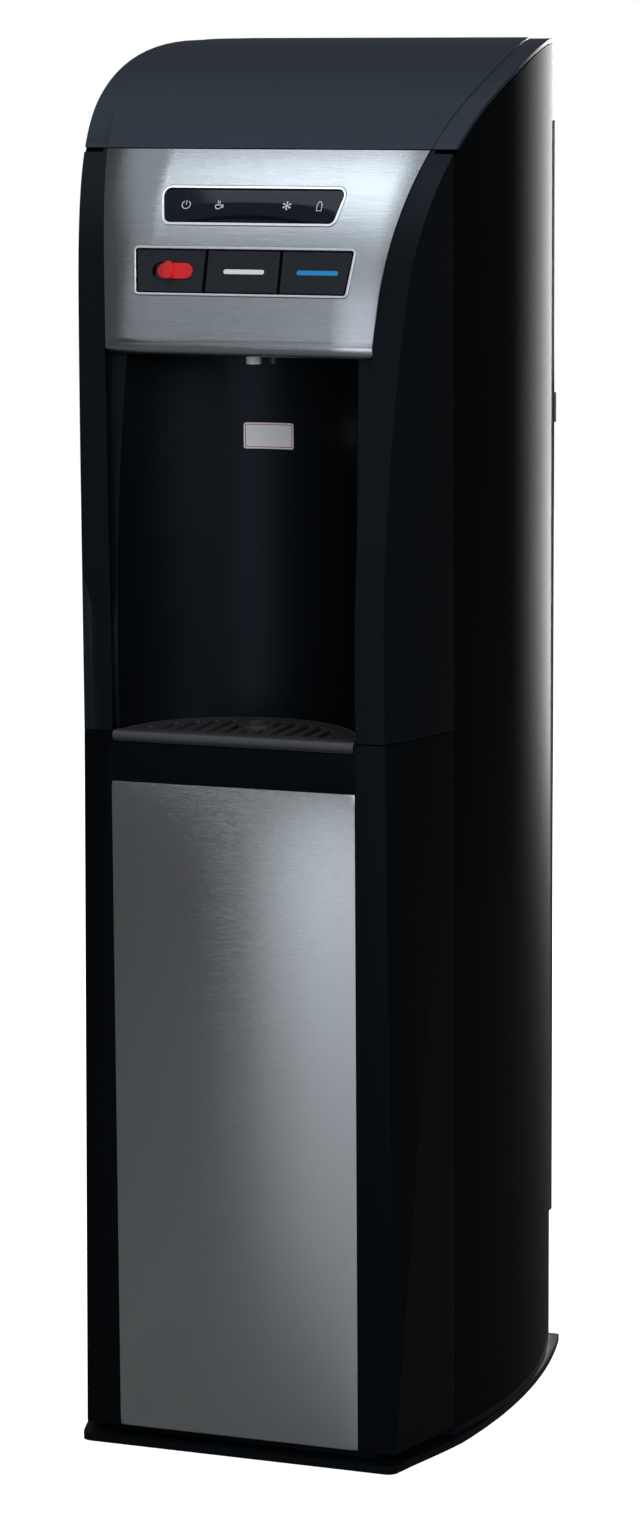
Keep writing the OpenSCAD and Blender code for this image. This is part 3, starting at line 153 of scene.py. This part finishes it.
links.new(glow.outputs[0], both.inputs[1])
links.new(bounce.outputs[0], mix.inputs[1])
links.new(both.outputs[0], mix.inputs[2])
links.new(mix.outputs[0], out.inputs["Surface"])
floor_mesh.materials.append(paper)

# The base is one injection moulding in black polypropylene: a low skirt round the foot of the
# cabinet, a raised deck that the side panels stand on, and ribs under the deck.
body_of = {n: b for b, names in frame["record"]["behaviour"]["bodies"].items() for n in names}
BROAD_SHARE, GRAIN_DEPTH = 0.4, 0.0004
DARK_BELOW, LIGHT_ABOVE = 0.3, 0.7


def surface(
    name, dark, light, rough, grain, bump=0.06, stretch=(1, 1, 1), spread=0.05, blotch=9, **fixed
):
    """A material whose colour, gloss and relief follow two noises: a fine one of `grain` cells
    to the metre, and a broad one of `blotch` cells. `fixed` sets the shader's own sockets."""
    look = bpy.data.materials.new(name)
    look.use_nodes = True
    nodes, links = look.node_tree.nodes, look.node_tree.links
    shader = nodes["Principled BSDF"]
    for socket, value in fixed.items():
        shader.inputs[socket.replace("_", " ")].default_value = value
    place = nodes.new("ShaderNodeTexCoord")
    mapping = nodes.new("ShaderNodeMapping")
    mapping.inputs["Scale"].default_value = stretch
    fine = nodes.new("ShaderNodeTexNoise")
    fine.inputs["Scale"].default_value = grain
    fine.inputs["Detail"].default_value = 3
    broad = nodes.new("ShaderNodeTexNoise")
    broad.inputs["Scale"].default_value = blotch
    blend = nodes.new("ShaderNodeMix")
    blend.inputs["Factor"].default_value = BROAD_SHARE
    ramp = nodes.new("ShaderNodeValToRGB")
    ramp.color_ramp.elements[0].position = DARK_BELOW
    ramp.color_ramp.elements[0].color = (*dark, 1)
    ramp.color_ramp.elements[1].position = LIGHT_ABOVE
    ramp.color_ramp.elements[1].color = (*light, 1)
    gloss = nodes.new("ShaderNodeMapRange")
    gloss.inputs["To Min"].default_value = rough - spread
    gloss.inputs["To Max"].default_value = rough + spread
    relief = nodes.new("ShaderNodeBump")
    relief.inputs["Strength"].default_value = bump
    relief.inputs["Distance"].default_value = GRAIN_DEPTH
    links.new(place.outputs["Object"], mapping.inputs["Vector"])
    links.new(mapping.outputs["Vector"], fine.inputs["Vector"])
    links.new(place.outputs["Object"], broad.inputs["Vector"])
    links.new(fine.outputs["Fac"], blend.inputs["A"])
    links.new(broad.outputs["Fac"], blend.inputs["B"])
    links.new(blend.outputs["Result"], ramp.inputs["Fac"])
    links.new(ramp.outputs["Color"], shader.inputs["Base Color"])
    links.new(blend.outputs["Result"], gloss.inputs["Value"])
    links.new(gloss.outputs["Result"], shader.inputs["Roughness"])
    links.new(fine.outputs["Fac"], relief.inputs["Height"])
    links.new(relief.outputs["Normal"], shader.inputs["Normal"])
    return look


def settle(piece, look, node, sharp=32):
    """Gives a finished piece its material and its body, and hides the CAD node it stands for."""
    piece.data.materials.clear()
    piece.data.materials.append(look)
    piece.data.shade_smooth()
    piece.data.set_sharp_from_angle(angle=radians(sharp))
    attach(piece, body_of[node])
    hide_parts(node)
    return piece


def ease(piece, width, segments=2, over=32):
    """Rounds the edges of a piece that are sharper than `over` degrees."""
    bevel = piece.modifiers.new("edges", "BEVEL")
    bevel.width = width
    bevel.segments = segments
    bevel.limit_method = "ANGLE"
    bevel.angle_limit = radians(over)
    bevel.harden_normals = True


WELD, FLAT = 0.000003, radians(0.6)


def dress(node, look, name, edge=0.0005, segments=2, sharp=32):
    """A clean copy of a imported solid: flat faces whole, curves smooth, edges eased."""
    shape = bmesh.new()
    shape.from_mesh(frame["nodes"][node].data)
    bmesh.ops.remove_doubles(shape, verts=shape.verts, dist=WELD)
    bmesh.ops.dissolve_limit(shape, angle_limit=FLAT, verts=shape.verts, edges=shape.edges)
    mesh = bpy.data.meshes.new(name)
    shape.to_mesh(mesh)
    shape.free()
    piece = bpy.data.objects.new(name, mesh)
    scene.collection.objects.link(piece)
    settle(piece, look, node, sharp)
    if edge:
        ease(piece, edge, segments, sharp)
    return piece


BLUE_SHEEN = (0.6, 0.82, 1, 1)  # the black plastics and paint shine a little blue
black_moulding = surface(
    "black_moulding", (0.001, 0.0013, 0.0017), (0.002, 0.0025, 0.0031), rough=0.45, grain=900,
    bump=0.08, Specular_IOR_Level=0.16, Specular_Tint=BLUE_SHEEN,
)
foot = dress("base", black_moulding, "foot_tray", edge=0.0008)
# Its front corners are drawn in towards the door, more and more from DRAW_FROM forwards.
DRAW_IN, DRAW_FROM, DRAW_OVER, DRAW_BEYOND = 0.005, -0.1, 0.06, 0.108
for v in foot.data.vertices:
    if abs(v.co.x) > DRAW_BEYOND:
        drawn = DRAW_IN * min(max((DRAW_FROM - v.co.y) / DRAW_OVER, 0), 1)
        v.co.x -= drawn if v.co.x > 0 else -drawn

# Four feet of black rubber, turned a little smaller towards the floor and pushed into the
# round sockets under the tray.
rubber = surface(
    "foot_rubber", (0.02, 0.02, 0.02), (0.035, 0.035, 0.035), rough=0.82, grain=1600, bump=0.15
)
dress("rubber_feet", rubber, "feet", edge=0.0006)

# The bottle stands on a moulded grey floor with a low fence behind it, which stops it before
# it reaches the back panel.
tray_grey = surface(
    "tray_plastic", (0.03, 0.03, 0.033), (0.045, 0.045, 0.048), rough=0.5, grain=700, bump=0.1
)
dress("bottle_guide", tray_grey, "bottle_floor", edge=0.0006)

# Each side is one sheet of steel in satin black powder paint, pressed to a slight bulge and
# folded inwards at the side seam and at the back.
side_paint = surface(
    "side_paint", (0.0005, 0.0007, 0.001), (0.001, 0.0013, 0.0017), rough=0.5, grain=420, bump=0.1,
    spread=0.04, Specular_IOR_Level=0.05, Specular_Tint=BLUE_SHEEN,
)
dress("left_side_panel", side_paint, "left_side", edge=0.0006)
dress("right_side_panel", side_paint, "right_side", edge=0.0006)

# The back is flat sheet in textured dark grey powder paint, with punched vent slots, two
# switch holes and the holes for the pipes, the drain and the lead.
back_paint = surface(
    "back_paint", (0.03, 0.031, 0.034), (0.045, 0.046, 0.05), rough=0.55, grain=1300, bump=0.3
)
dress("rear_panel", back_paint, "back_sheet", edge=0.0003)


# The frame inside is folded from zinc coated sheet: two upright channels, the rail between
# them and the two shelves, the fork for the probe and the door's strike. The pins are plated
# too. The zinc freezes into flakes about as wide as a fingernail.
def zinc_sheet(name, dark, light, flakes_per_metre=95):
    """Zinc coated sheet, with a grey of its own for each flake."""
    look = surface(name, dark, light, rough=0.42, grain=80, bump=0.02, Metallic=0.9)
    nodes, links = look.node_tree.nodes, look.node_tree.links
    place = nodes.new("ShaderNodeTexCoord")
    flakes = nodes.new("ShaderNodeTexVoronoi")
    flakes.inputs["Scale"].default_value = flakes_per_metre
    ramp = nodes.new("ShaderNodeValToRGB")
    ramp.color_ramp.elements[0].color = (*dark, 1)
    ramp.color_ramp.elements[1].color = (*light, 1)
    links.new(place.outputs["Object"], flakes.inputs["Vector"])
    links.new(flakes.outputs["Color"], ramp.inputs["Fac"])
    links.new(ramp.outputs["Color"], nodes["Principled BSDF"].inputs["Base Color"])
    return look


zinc = zinc_sheet("zinc", (0.3, 0.31, 0.33), (0.52, 0.53, 0.55))
for node, name in {
    "side_posts": "posts",
    "front_rail": "rail",
    "mid_shelf": "works_shelf",
    "tank_shelf": "upper_shelf",
    "probe_hanger": "probe_fork",
    "hinge_pins": "door_pins",
    "door_strike": "strike",
}.items():
    dress(node, zinc, name, edge=0.0002)

# The two tanks are drawn from stainless sheet and welded. The cold one sits in a round
# block of cream foam, the hot one is bare.
tank_steel = surface(
    "tank_steel", (0.45, 0.46, 0.47), (0.6, 0.61, 0.62), rough=0.3, grain=400, bump=0.03,
    stretch=(1, 1, 14), Metallic=1.0,
)
foam = surface("foam", (0.62, 0.56, 0.42), (0.8, 0.75, 0.6), rough=0.95, grain=500, bump=0.6)
dress("cold_tank", tank_steel, "cold_pot", edge=0.001)
dress("cold_tank_foam", foam, "cold_foam", edge=0.0015)
dress("hot_tank", tank_steel, "hot_pot", edge=0.001)

# The compressor is a domed steel pot in black paint on four rubber mounts, and its copper
# pipes run to the drier, the cold tank and the coil on the back.
pot_paint = surface(
    "pot_paint", (0.01, 0.01, 0.011), (0.018, 0.018, 0.02), rough=0.3, grain=250, bump=0.1
)
copper = surface(
    "copper", (0.5, 0.2, 0.1), (0.72, 0.36, 0.2), rough=0.32, grain=160, bump=0.04, Metallic=1.0
)
dress("compressor", pot_paint, "compressor_pot", edge=0.001)
dress("compressor_mounts", rubber, "pot_mounts", edge=0.001)
dress("filter_drier", copper, "drier", edge=0.0015)
dress("refrigerant_lines", copper, "cold_pipes", edge=0, sharp=50)

# Water rises from the bottle through a milky silicone hose to the pump, and from there
# through more of it to the tanks and to three moulded valves over the spouts.
hose = surface(
    "milky_hose", (0.55, 0.57, 0.58), (0.68, 0.7, 0.71), rough=0.35, grain=300, bump=0.03,
    Transmission_Weight=0.25,
)
works_black = surface(
    "works_black", (0.018, 0.018, 0.019), (0.03, 0.03, 0.032), rough=0.48, grain=900, bump=0.1
)
white_plastic = surface(
    "white_plastic", (0.7, 0.7, 0.68), (0.8, 0.8, 0.78), rough=0.34, grain=700, bump=0.04
)
dress("bottle_pump", works_black, "pump", edge=0.001)
dress("water_lines", hose, "hoses", edge=0, sharp=50)
dress("outlet_valves", white_plastic, "valves", edge=0.0006)
dress("bottle_probe", white_plastic, "probe", edge=0.0006)
# The soft tail above the probe gets a mesh of its own.
tail = dress("probe_hose", hose, "probe_tail", edge=0.0003)
low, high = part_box("probe_hose")
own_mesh(tail)

# A steel box on the back panel holds the mains board. Its two rocker switches, red for
# heating and green for cooling, snap into black frames from outside.
box_steel = surface(
    "box_steel", (0.3, 0.31, 0.32), (0.42, 0.43, 0.44), rough=0.4, grain=300, bump=0.03,
    Metallic=0.9,
)
red_plastic = surface(
    "red_plastic", (0.5, 0.022, 0.016), (0.62, 0.035, 0.024), rough=0.3, grain=600, bump=0.05
)
green_plastic = surface(
    "green_plastic", (0.02, 0.2, 0.06), (0.035, 0.27, 0.09), rough=0.3, grain=600, bump=0.05
)
dress("power_box", box_steel, "mains_box", edge=0.001)
dress("switch_frames", works_black, "rocker_frames", edge=0.0005)
dress("hot_switch", red_plastic, "heating_rocker", edge=0.0006)
dress("cold_switch", green_plastic, "cooling_rocker", edge=0.0006)

# The condenser on the back is a steel tube bent to and fro, with thin wires spot welded
# across it on both sides, all dipped in black paint and held by two folded rails.
coil_paint = surface(
    "coil_paint", (0.012, 0.012, 0.013), (0.02, 0.02, 0.022), rough=0.4, grain=900, bump=0.12
)
dress("condenser_coil", coil_paint, "coil", edge=0, sharp=50)
dress("condenser_wires", coil_paint, "coil_wires", edge=0, sharp=50)
dress("condenser_rails", coil_paint, "coil_rails", edge=0.0002)

# Low on the back are two mouldings held in round holes: the black gland for the lead, and a
# white drain spigot, closed by a black cap that screws on.
dress("power_gland", works_black, "lead_gland", edge=0.0005)
dress("drain_outlet", white_plastic, "drain_spigot", edge=0.0004)
dress("drain_cap", works_black, "drain_plug", edge=0.0006)

# The alcove is one blow-moulded black liner with a round back wall, which catches a soft
# light down its left half.
alcove_black = surface(
    "alcove_black", (0.0006, 0.0009, 0.0013), (0.0014, 0.002, 0.0028), rough=0.45, grain=500,
    bump=0.04, Specular_IOR_Level=0.2, Specular_Tint=BLUE_SHEEN,
)
dress("alcove_liner", alcove_black, "alcove", edge=0.0005)

# Two spouts hang from the roof of the alcove: a white one for cool water, and beside it a
# narrow black one for hot. The white one is trimmed, so that both end at about one height.
COOL_TIP = 0.8424
spout = dress("nozzle", white_plastic, "cool_spout", edge=0.0008, segments=3)
for v in spout.data.vertices:
    v.co.z = max(v.co.z, COOL_TIP)
dress("hot_spout", works_black, "hot_spout_tip", edge=0.0004)


# A blank white plate is glued to the wall behind the spouts. A thin red line is printed on
# it, a little way in from its edge.
def run_math(tree, value, steps):
    """Sends a value through a row of math nodes, and returns what comes out."""
    for action, *amount in steps:
        step = tree.nodes.new("ShaderNodeMath")
        step.operation = action
        for k, number in enumerate(amount):
            step.inputs[k + 1].default_value = number
        tree.links.new(value, step.inputs[0])
        value = step.outputs[0]
    return value


def join_math(tree, action, first, second):
    """One math node that takes both of its values from other nodes."""
    step = tree.nodes.new("ShaderNodeMath")
    step.operation = action
    tree.links.new(first, step.inputs[0])
    tree.links.new(second, step.inputs[1])
    return step.outputs[0]


def object_axes(tree):
    """The outputs X, Y and Z of the piece's own place, in metres."""
    place = tree.nodes.new("ShaderNodeTexCoord")
    split = tree.nodes.new("ShaderNodeSeparateXYZ")
    tree.links.new(place.outputs["Object"], split.inputs["Vector"])
    return split.outputs


def paint_over(look, where, colour):
    """Lays a colour over a material wherever the socket `where` gives one."""
    tree = look.node_tree
    shader = tree.nodes["Principled BSDF"]
    coat = tree.nodes.new("ShaderNodeMix")
    coat.data_type = "RGBA"
    coat.inputs["B"].default_value = (*colour, 1)
    tree.links.new(where, coat.inputs["Factor"])
    tree.links.new(shader.inputs["Base Color"].links[0].from_socket, coat.inputs["A"])
    tree.links.new(coat.outputs["Result"], shader.inputs["Base Color"])


PLATE_INSET, PLATE_LINE, PLATE_RED = 0.0014, 0.0006, (0.5, 0.03, 0.025)
plate_white = surface(
    "plate_white", (0.72, 0.72, 0.7), (0.8, 0.8, 0.78), rough=0.34, grain=700, bump=0.04
)
tree = plate_white.node_tree
axes = object_axes(tree)
low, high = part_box("blank_plate")
past_line = []
for axis, k in (("X", 0), ("Z", 2)):
    middle, half = (low[k] + high[k]) / 2, (high[k] - low[k]) / 2
    steps = ("SUBTRACT", middle), ("ABSOLUTE",), ("SUBTRACT", half - PLATE_INSET)
    past_line.append(run_math(tree, axes[axis], steps))
past_line = join_math(tree, "MAXIMUM", *past_line)
paint_over(plate_white, run_math(tree, past_line, [("COMPARE", 0, PLATE_LINE / 2)]), PLATE_RED)
dress("blank_plate", plate_white, "wall_plate", edge=0.0001)

# The drip tray is a grey moulding with a rounded front edge, and a slotted grille with a
# raised finger ring lies in it.
dress("drip_tray", tray_grey, "tray", edge=0.0005)
dress("drip_grille", works_black, "grille", edge=0.0005)

# The door is a deep black moulding that wraps round both front corners. A grey liner closes
# it from behind, and a magnet on the rail holds its strike plate.
door_black = surface(
    "door_black", (0.0007, 0.0009, 0.0012), (0.0014, 0.0018, 0.0023), rough=0.42, grain=800,
    bump=0.06, Specular_IOR_Level=0.1, Specular_Tint=BLUE_SHEEN,
)
liner_plastic = surface(
    "liner_plastic", (0.48, 0.48, 0.47), (0.58, 0.58, 0.57), rough=0.45, grain=500, bump=0.08
)
dress("door_shell", door_black, "door_moulding", edge=0.0006)
dress("door_liner", liner_plastic, "door_back", edge=0.001)
dress("magnet_catch", tray_grey, "catch", edge=0.0004)


# The door skin is stainless sheet, brushed across and pressed to a shallow pillow. Its edges
# are folded back into a groove in the moulding.
FACE = -0.18425
SKIN_HALF, SKIN_LOW, SKIN_TOP = 0.0984, 0.0162, 0.527
SKIN_SWELL, SKIN_FOLD, SKIN_THICK, SKIN_EDGE = 0.01, 0.0022, 0.0009, 0.0009
FALL_ACROSS, FALL_UP = 2.3, 3.6
BRUSH_LINES = (0.012, 1, 1)


def brushed(name, dark, light, rough):
    """Steel brushed across: sharp reflections along the lines, long ones up and down."""
    look = surface(
        name, dark, light, rough=rough, grain=2600, bump=0.2, stretch=BRUSH_LINES, spread=0.01,
        blotch=3, Metallic=1.0,
    )
    nodes, links = look.node_tree.nodes, look.node_tree.links
    shader = nodes["Principled BSDF"]
    shader.inputs["Anisotropic"].default_value = 1.0
    shader.inputs["Anisotropic Rotation"].default_value = 0.25
    grain = nodes.new("ShaderNodeTangent")
    grain.direction_type = "UV_MAP"
    grain.uv_map = "grain"
    links.new(grain.outputs["Tangent"], shader.inputs["Tangent"])
    return look


def lay_grain(mesh):
    """A map whose first axis runs across the dispenser, for the brushing to follow."""
    uv = mesh.uv_layers.new(name="grain")
    for loop in mesh.loops:
        place = mesh.vertices[loop.vertex_index].co
        uv.data[loop.index].uv = (place.x, place.z - place.y)


steel = brushed("brushed_steel", (0.45, 0.46, 0.462), (0.51, 0.52, 0.522), 0.19)
shape = bmesh.new()
bmesh.ops.create_grid(shape, x_segments=56, y_segments=128, size=1)
for v in shape.verts:
    u, w = v.co.x, v.co.y
    swell = SKIN_SWELL * (1 - abs(u) ** FALL_ACROSS) * (1 - abs(w) ** FALL_UP)
    height = (SKIN_LOW + SKIN_TOP) / 2 + w * (SKIN_TOP - SKIN_LOW) / 2
    v.co = (u * SKIN_HALF, FACE - swell, height)
rim = [e for e in shape.edges if e.is_boundary]
folded = bmesh.ops.extrude_edge_only(shape, edges=rim)["geom"]
for v in folded:
    if isinstance(v, bmesh.types.BMVert):
        v.co.y += SKIN_FOLD
bmesh.ops.bevel(
    shape, geom=rim, offset=SKIN_EDGE, segments=3, profile=0.5, affect="EDGES", material=-1
)
bmesh.ops.recalc_face_normals(shape, faces=shape.faces)
bmesh.ops.solidify(shape, geom=shape.faces, thickness=SKIN_THICK)
skin_mesh = bpy.data.meshes.new("door_sheet")
shape.to_mesh(skin_mesh)
shape.free()
lay_grain(skin_mesh)
skin = bpy.data.objects.new("door_sheet", skin_mesh)
scene.collection.objects.link(skin)
settle(skin, steel, "door_skin", 40)

# The front surround is the black moulding between the hood and the door: two curved strips
# beside the alcove, joined by the seat that carries the steel fascia.
STRIP_FRONT = -0.18175
surround = dress("front_surround", black_moulding, "surround", edge=0.0005)
for v in surround.data.vertices:
    v.co.y = max(v.co.y, STRIP_FRONT)


# The fascia is the same brushed sheet, bent to the curve of the front and rolled back into
# a round lip over the alcove. Its sides roll back a little too, which shows in the shading.
def tilt_light(look, height, depth):
    """Tilts the light on a material as a swelling of that height would, under its grain."""
    tree = look.node_tree
    form = tree.nodes.new("ShaderNodeBump")
    form.inputs["Distance"].default_value = depth
    tree.links.new(height, form.inputs["Height"])
    grain = tree.nodes["Principled BSDF"].inputs["Normal"].links[0].from_node
    tree.links.new(form.outputs["Normal"], grain.inputs["Normal"])


ROLL_FROM, ROLL_FALL = 0.073, -4.2
rolled = brushed("rolled_steel", (0.44, 0.462, 0.475), (0.5, 0.522, 0.535), 0.19)
tree = rolled.node_tree
past_roll = ("ABSOLUTE",), ("SUBTRACT", ROLL_FROM), ("MAXIMUM", 0)
roll = past_roll + (("POWER", 2), ("MULTIPLY", ROLL_FALL))
tilt_light(rolled, run_math(tree, object_axes(tree)["X"], roll), depth=1)
fascia = dress("fascia", rolled, "fascia_sheet", edge=0.0002, sharp=40)
# The two low corners of the lip are rounded off.
LIP_LOW, LIP_CORNER = 0.85, 0.008
reach = max(v.co.x for v in fascia.data.vertices)
for v in fascia.data.vertices:
    short = LIP_CORNER - min(max(v.co.z - LIP_LOW, 0), LIP_CORNER)
    limit = reach - LIP_CORNER + sqrt(LIP_CORNER ** 2 - short ** 2)
    v.co.x = min(max(v.co.x, -limit), limit)
lay_grain(fascia.data)

# The display is a gloss black window in a bright pressed bezel, with a small green circuit
# board and four lamps behind it. The glass is a shallow dome, highest near its top edge.
bright = surface(
    "bright_trim", (0.8, 0.81, 0.83), (0.92, 0.93, 0.95), rough=0.34, grain=500, bump=0.02,
    Metallic=1.0,
)
window_black = surface(
    "window_black", (0.001, 0.003, 0.008), (0.002, 0.005, 0.012), rough=0.07, grain=300, bump=0.01,
    spread=0.02, Specular_IOR_Level=0.2,
)
board_green = surface(
    "board_green", (0.01, 0.08, 0.03), (0.02, 0.14, 0.05), rough=0.35, grain=900, bump=0.1
)
DOME_DEPTH, DOME_TOP = 0.0009, {"X": 0.5, "Z": 0.8}
tree = window_black.node_tree
axes = object_axes(tree)
low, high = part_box("display_window")
domes = []
for axis, k in (("X", 0), ("Z", 2)):
    wide = high[k] - low[k]
    from_top = ("SUBTRACT", low[k] + DOME_TOP[axis] * wide), ("DIVIDE", wide / 2)
    fall = ("ABSOLUTE",), ("POWER", 2), ("MULTIPLY", -1), ("ADD", 1)
    domes.append(run_math(tree, axes[axis], from_top + fall))
tilt_light(window_black, join_math(tree, "MULTIPLY", *domes), DOME_DEPTH)
dress("window_bezel", bright, "display_rim", edge=0.0003)
dress("display_window", window_black, "display_glass", edge=0.0002)
dress("display_board", board_green, "display_card", edge=0.0002)

# Four small signs are printed in pale grey on the window: a power sign, a steaming cup, a
# snowflake and a bottle. They light up from behind when the dispenser is on.
SIGN_Z, SIGN_LINE, SIGN_THICK, GLASS_BACK = 0.9615, 0.00062, 0.00004, 0.00058
POWER_X, CUP_X, FLAKE_X, BOTTLE_X = -0.053, -0.0268, 0.028, 0.054
# From the side, the front is upright as far as STRAIGHT_TO, and then three arcs that run on
# from one another: each has its middle in y and z, its radius and the height it ends at.
STRAIGHT_TO = 0.618
ARCS = (
    (1.33775, 0.618, 1.522, 0.89014),
    (0.04492, 0.85295, 0.208, 1.0399),
    (0.1361, 0.666, 0.416, 1.082),
)


def front_at(x, z, out=0.0):
    """The point of the curved front at that place, `out` metres in front of the sheet."""
    if z < STRAIGHT_TO:
        return Vector((x, FACE - out, z))
    cy, cz, r, _ = next((arc for arc in ARCS if z < arc[3]), ARCS[-1])
    lean = asin((z - cz) / r)
    return Vector((x, cy - (r + out) * cos(lean), cz + (r + out) * sin(lean)))


def bow(x, z, r, start, stop, steps=14, tall=1.0):
    """Points on a circle from one angle to another, in degrees from the right."""
    turns = [radians(start + (stop - start) * i / steps) for i in range(steps + 1)]
    return [(x + r * cos(a), z + r * tall * sin(a)) for a in turns]


def print_lines(name, strokes, wide, place, look, node, thick=SIGN_THICK):
    """Flat printed lines: each stroke is a list of points, laid on a surface by `place`."""
    shape = bmesh.new()
    for points in strokes:
        closed = points[0] == points[-1]
        points = points[:-1] if closed else points
        last = len(points) - 1
        edges = []
        for i, (x, z) in enumerate(points):
            before = points[i - 1] if closed or i else (x, z)
            after = points[(i + 1) % len(points)] if closed or i < last else (x, z)
            run = (Vector(after) - Vector(before)).normalized()
            side = Vector((-run.y, run.x)) * wide / 2
            low = [shape.verts.new(place(x + s * side.x, z + s * side.y, 0)) for s in (1, -1)]
            top = [shape.verts.new(place(x + s * side.x, z + s * side.y, thick)) for s in (-1, 1)]
            edges.append(low + top)
        for i in range(len(edges) if closed else last):
            a, b = edges[i], edges[(i + 1) % len(edges)]
            for k in range(4):
                shape.faces.new((a[k], a[(k + 1) % 4], b[(k + 1) % 4], b[k]))
        if not closed:
            shape.faces.new(edges[0][::-1])
            shape.faces.new(edges[-1])
    bmesh.ops.recalc_face_normals(shape, faces=shape.faces)
    mesh = bpy.data.meshes.new(name)
    shape.to_mesh(mesh)
    shape.free()
    piece = bpy.data.objects.new(name, mesh)
    scene.collection.objects.link(piece)
    mesh.materials.append(look)
    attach(piece, body_of[node])
    return piece


def on_window(x, z, out):
    """A place on the glass, which lies a little behind the face of the steel."""
    return front_at(x, z, out - GLASS_BACK)


power = [
    bow(POWER_X, SIGN_Z, 0.0033, 120, 420, steps=20, tall=0.86),
    [(POWER_X, SIGN_Z), (POWER_X, SIGN_Z + 0.0034)],
]
cup = [
    bow(CUP_X, SIGN_Z, 0.0026, 180, 360, steps=12, tall=1.1) + [(CUP_X - 0.0026, SIGN_Z)],
    bow(CUP_X + 0.0027, SIGN_Z - 0.0009, 0.0012, -80, 90, steps=8),
]
for steam_x in (CUP_X - 0.001, CUP_X + 0.0004):
    puffs = (0, 0.001), (0.0006, 0.002), (0, 0.0032)
    cup.append([(steam_x + along, SIGN_Z + up) for along, up in puffs])
flake = []
for i in range(6):
    a = radians(60 * i + 90)
    flake.append([(FLAKE_X, SIGN_Z), (FLAKE_X + 0.0036 * cos(a), SIGN_Z + 0.0031 * sin(a))])
    fork = (FLAKE_X + 0.0022 * cos(a), SIGN_Z + 0.0019 * sin(a))
    for b in (a + 0.55, a - 0.55):
        flake.append([fork, (fork[0] + 0.0012 * cos(b), fork[1] + 0.001 * sin(b))])
right_half = (0.0019, -0.0034), (0.0019, 0.0008), (0.0013, 0.0022), (0.0006, 0.0032)
outline = [(BOTTLE_X + across, SIGN_Z + up) for across, up in right_half]
outline += [(BOTTLE_X - across, SIGN_Z + up) for across, up in reversed(right_half)]
bottle_sign = [outline[-1]] + outline
sign_ink = surface(
    "sign_ink", (0.5, 0.53, 0.56), (0.62, 0.65, 0.68), rough=0.5, grain=900, bump=0.02
)
signs = power + cup + flake + [bottle_sign]
print_lines("window_signs", signs, SIGN_LINE, on_window, sign_ink, "display_window")

# Three dark buttons share one bright frame. The red slider in the left one is the child
# lock; the other two carry a white and a blue bar.
button_grey = surface(
    "button_grey", (0.007, 0.009, 0.012), (0.011, 0.014, 0.018), rough=0.4, grain=900, bump=0.06,
    Specular_IOR_Level=0.3,
)
blue_plastic = surface(
    "blue_plastic", (0.005, 0.21, 0.5), (0.012, 0.28, 0.6), rough=0.3, grain=500, bump=0.04
)
dress("button_bezel", bright, "button_rim", edge=0.0004)
dress("button_housing", works_black, "button_box", edge=0.0005)
dress("button_switches", works_black, "button_contacts", edge=0.0003)
# The caps are drawn in a little along the slope of the bay and across it, which leaves a
# dark gap all round each of them.
BAY, ALONG = front_at(0, 0.913), Vector((0, 0.288721, 0.957413))
HOT_X, ROOM_X, COLD_X = -0.0585, 0.0003, 0.0587


def draw_in(piece, x, across, along=0.955):
    """Makes a cap smaller about its own middle, to these shares of its width and height."""
    for v in piece.data.vertices:
        v.co += ALONG * (v.co - BAY).dot(ALONG) * (along - 1)
        v.co.x = x + (v.co.x - x) * across


# The slider is red; from SLOT_DEPTH behind the bay's face it is painted black, as painted shade in
# its slot.
SLOT_DEPTH, SLOT_SHADE = 0.0022, (0.004, 0.004, 0.004)
inward = Vector((0, ALONG.z, -ALONG.y))
lock_red_and_slot_shade = surface(
    "lock_red_and_slot_shade", (0.6, 0.007, 0.008), (0.7, 0.012, 0.012), rough=0.25, grain=600, bump=0.05
)
tree = lock_red_and_slot_shade.node_tree
place = tree.nodes.new("ShaderNodeTexCoord")
depth = tree.nodes.new("ShaderNodeVectorMath")
depth.operation = "DOT_PRODUCT"
depth.inputs[1].default_value = inward
tree.links.new(place.outputs["Object"], depth.inputs[0])
slot_face = BAY.dot(inward) + SLOT_DEPTH
# Painted shade: the part of the slider deeper than the slot's face is coloured near black.
paint_over(
    lock_red_and_slot_shade, run_math(tree, depth.outputs["Value"], [("GREATER_THAN", slot_face)]), SLOT_SHADE
)
draw_in(dress("hot_button", button_grey, "hot_cap", edge=0.001, segments=3), HOT_X, 0.965)
draw_in(dress("lock_slider", lock_red_and_slot_shade, "lock_slide_cap", edge=0.0012, segments=4), HOT_X, 0.965)
draw_in(dress("room_button", button_grey, "room_cap", edge=0.001, segments=3), ROOM_X, 0.96)
draw_in(dress("room_bar", white_plastic, "room_stripe", edge=0.0002), ROOM_X, 0.96)
draw_in(dress("cold_button", button_grey, "cold_cap", edge=0.001, segments=3), COLD_X, 0.965)
draw_in(dress("cold_bar", blue_plastic, "cold_stripe", edge=0.0002), COLD_X, 0.965)

# The hood is the last piece on: a blue-grey moulding that carries the curve of the fascia
# over the top and down to the back.
hood_grey = surface(
    "hood_grey", (0.009, 0.0135, 0.0205), (0.013, 0.0195, 0.0285), rough=0.4, grain=600, bump=0.04,
    Specular_IOR_Level=0.35, Specular_Tint=(0.7, 0.86, 1, 1),
)
dress("top_cover", hood_grey, "hood", edge=0.0006)
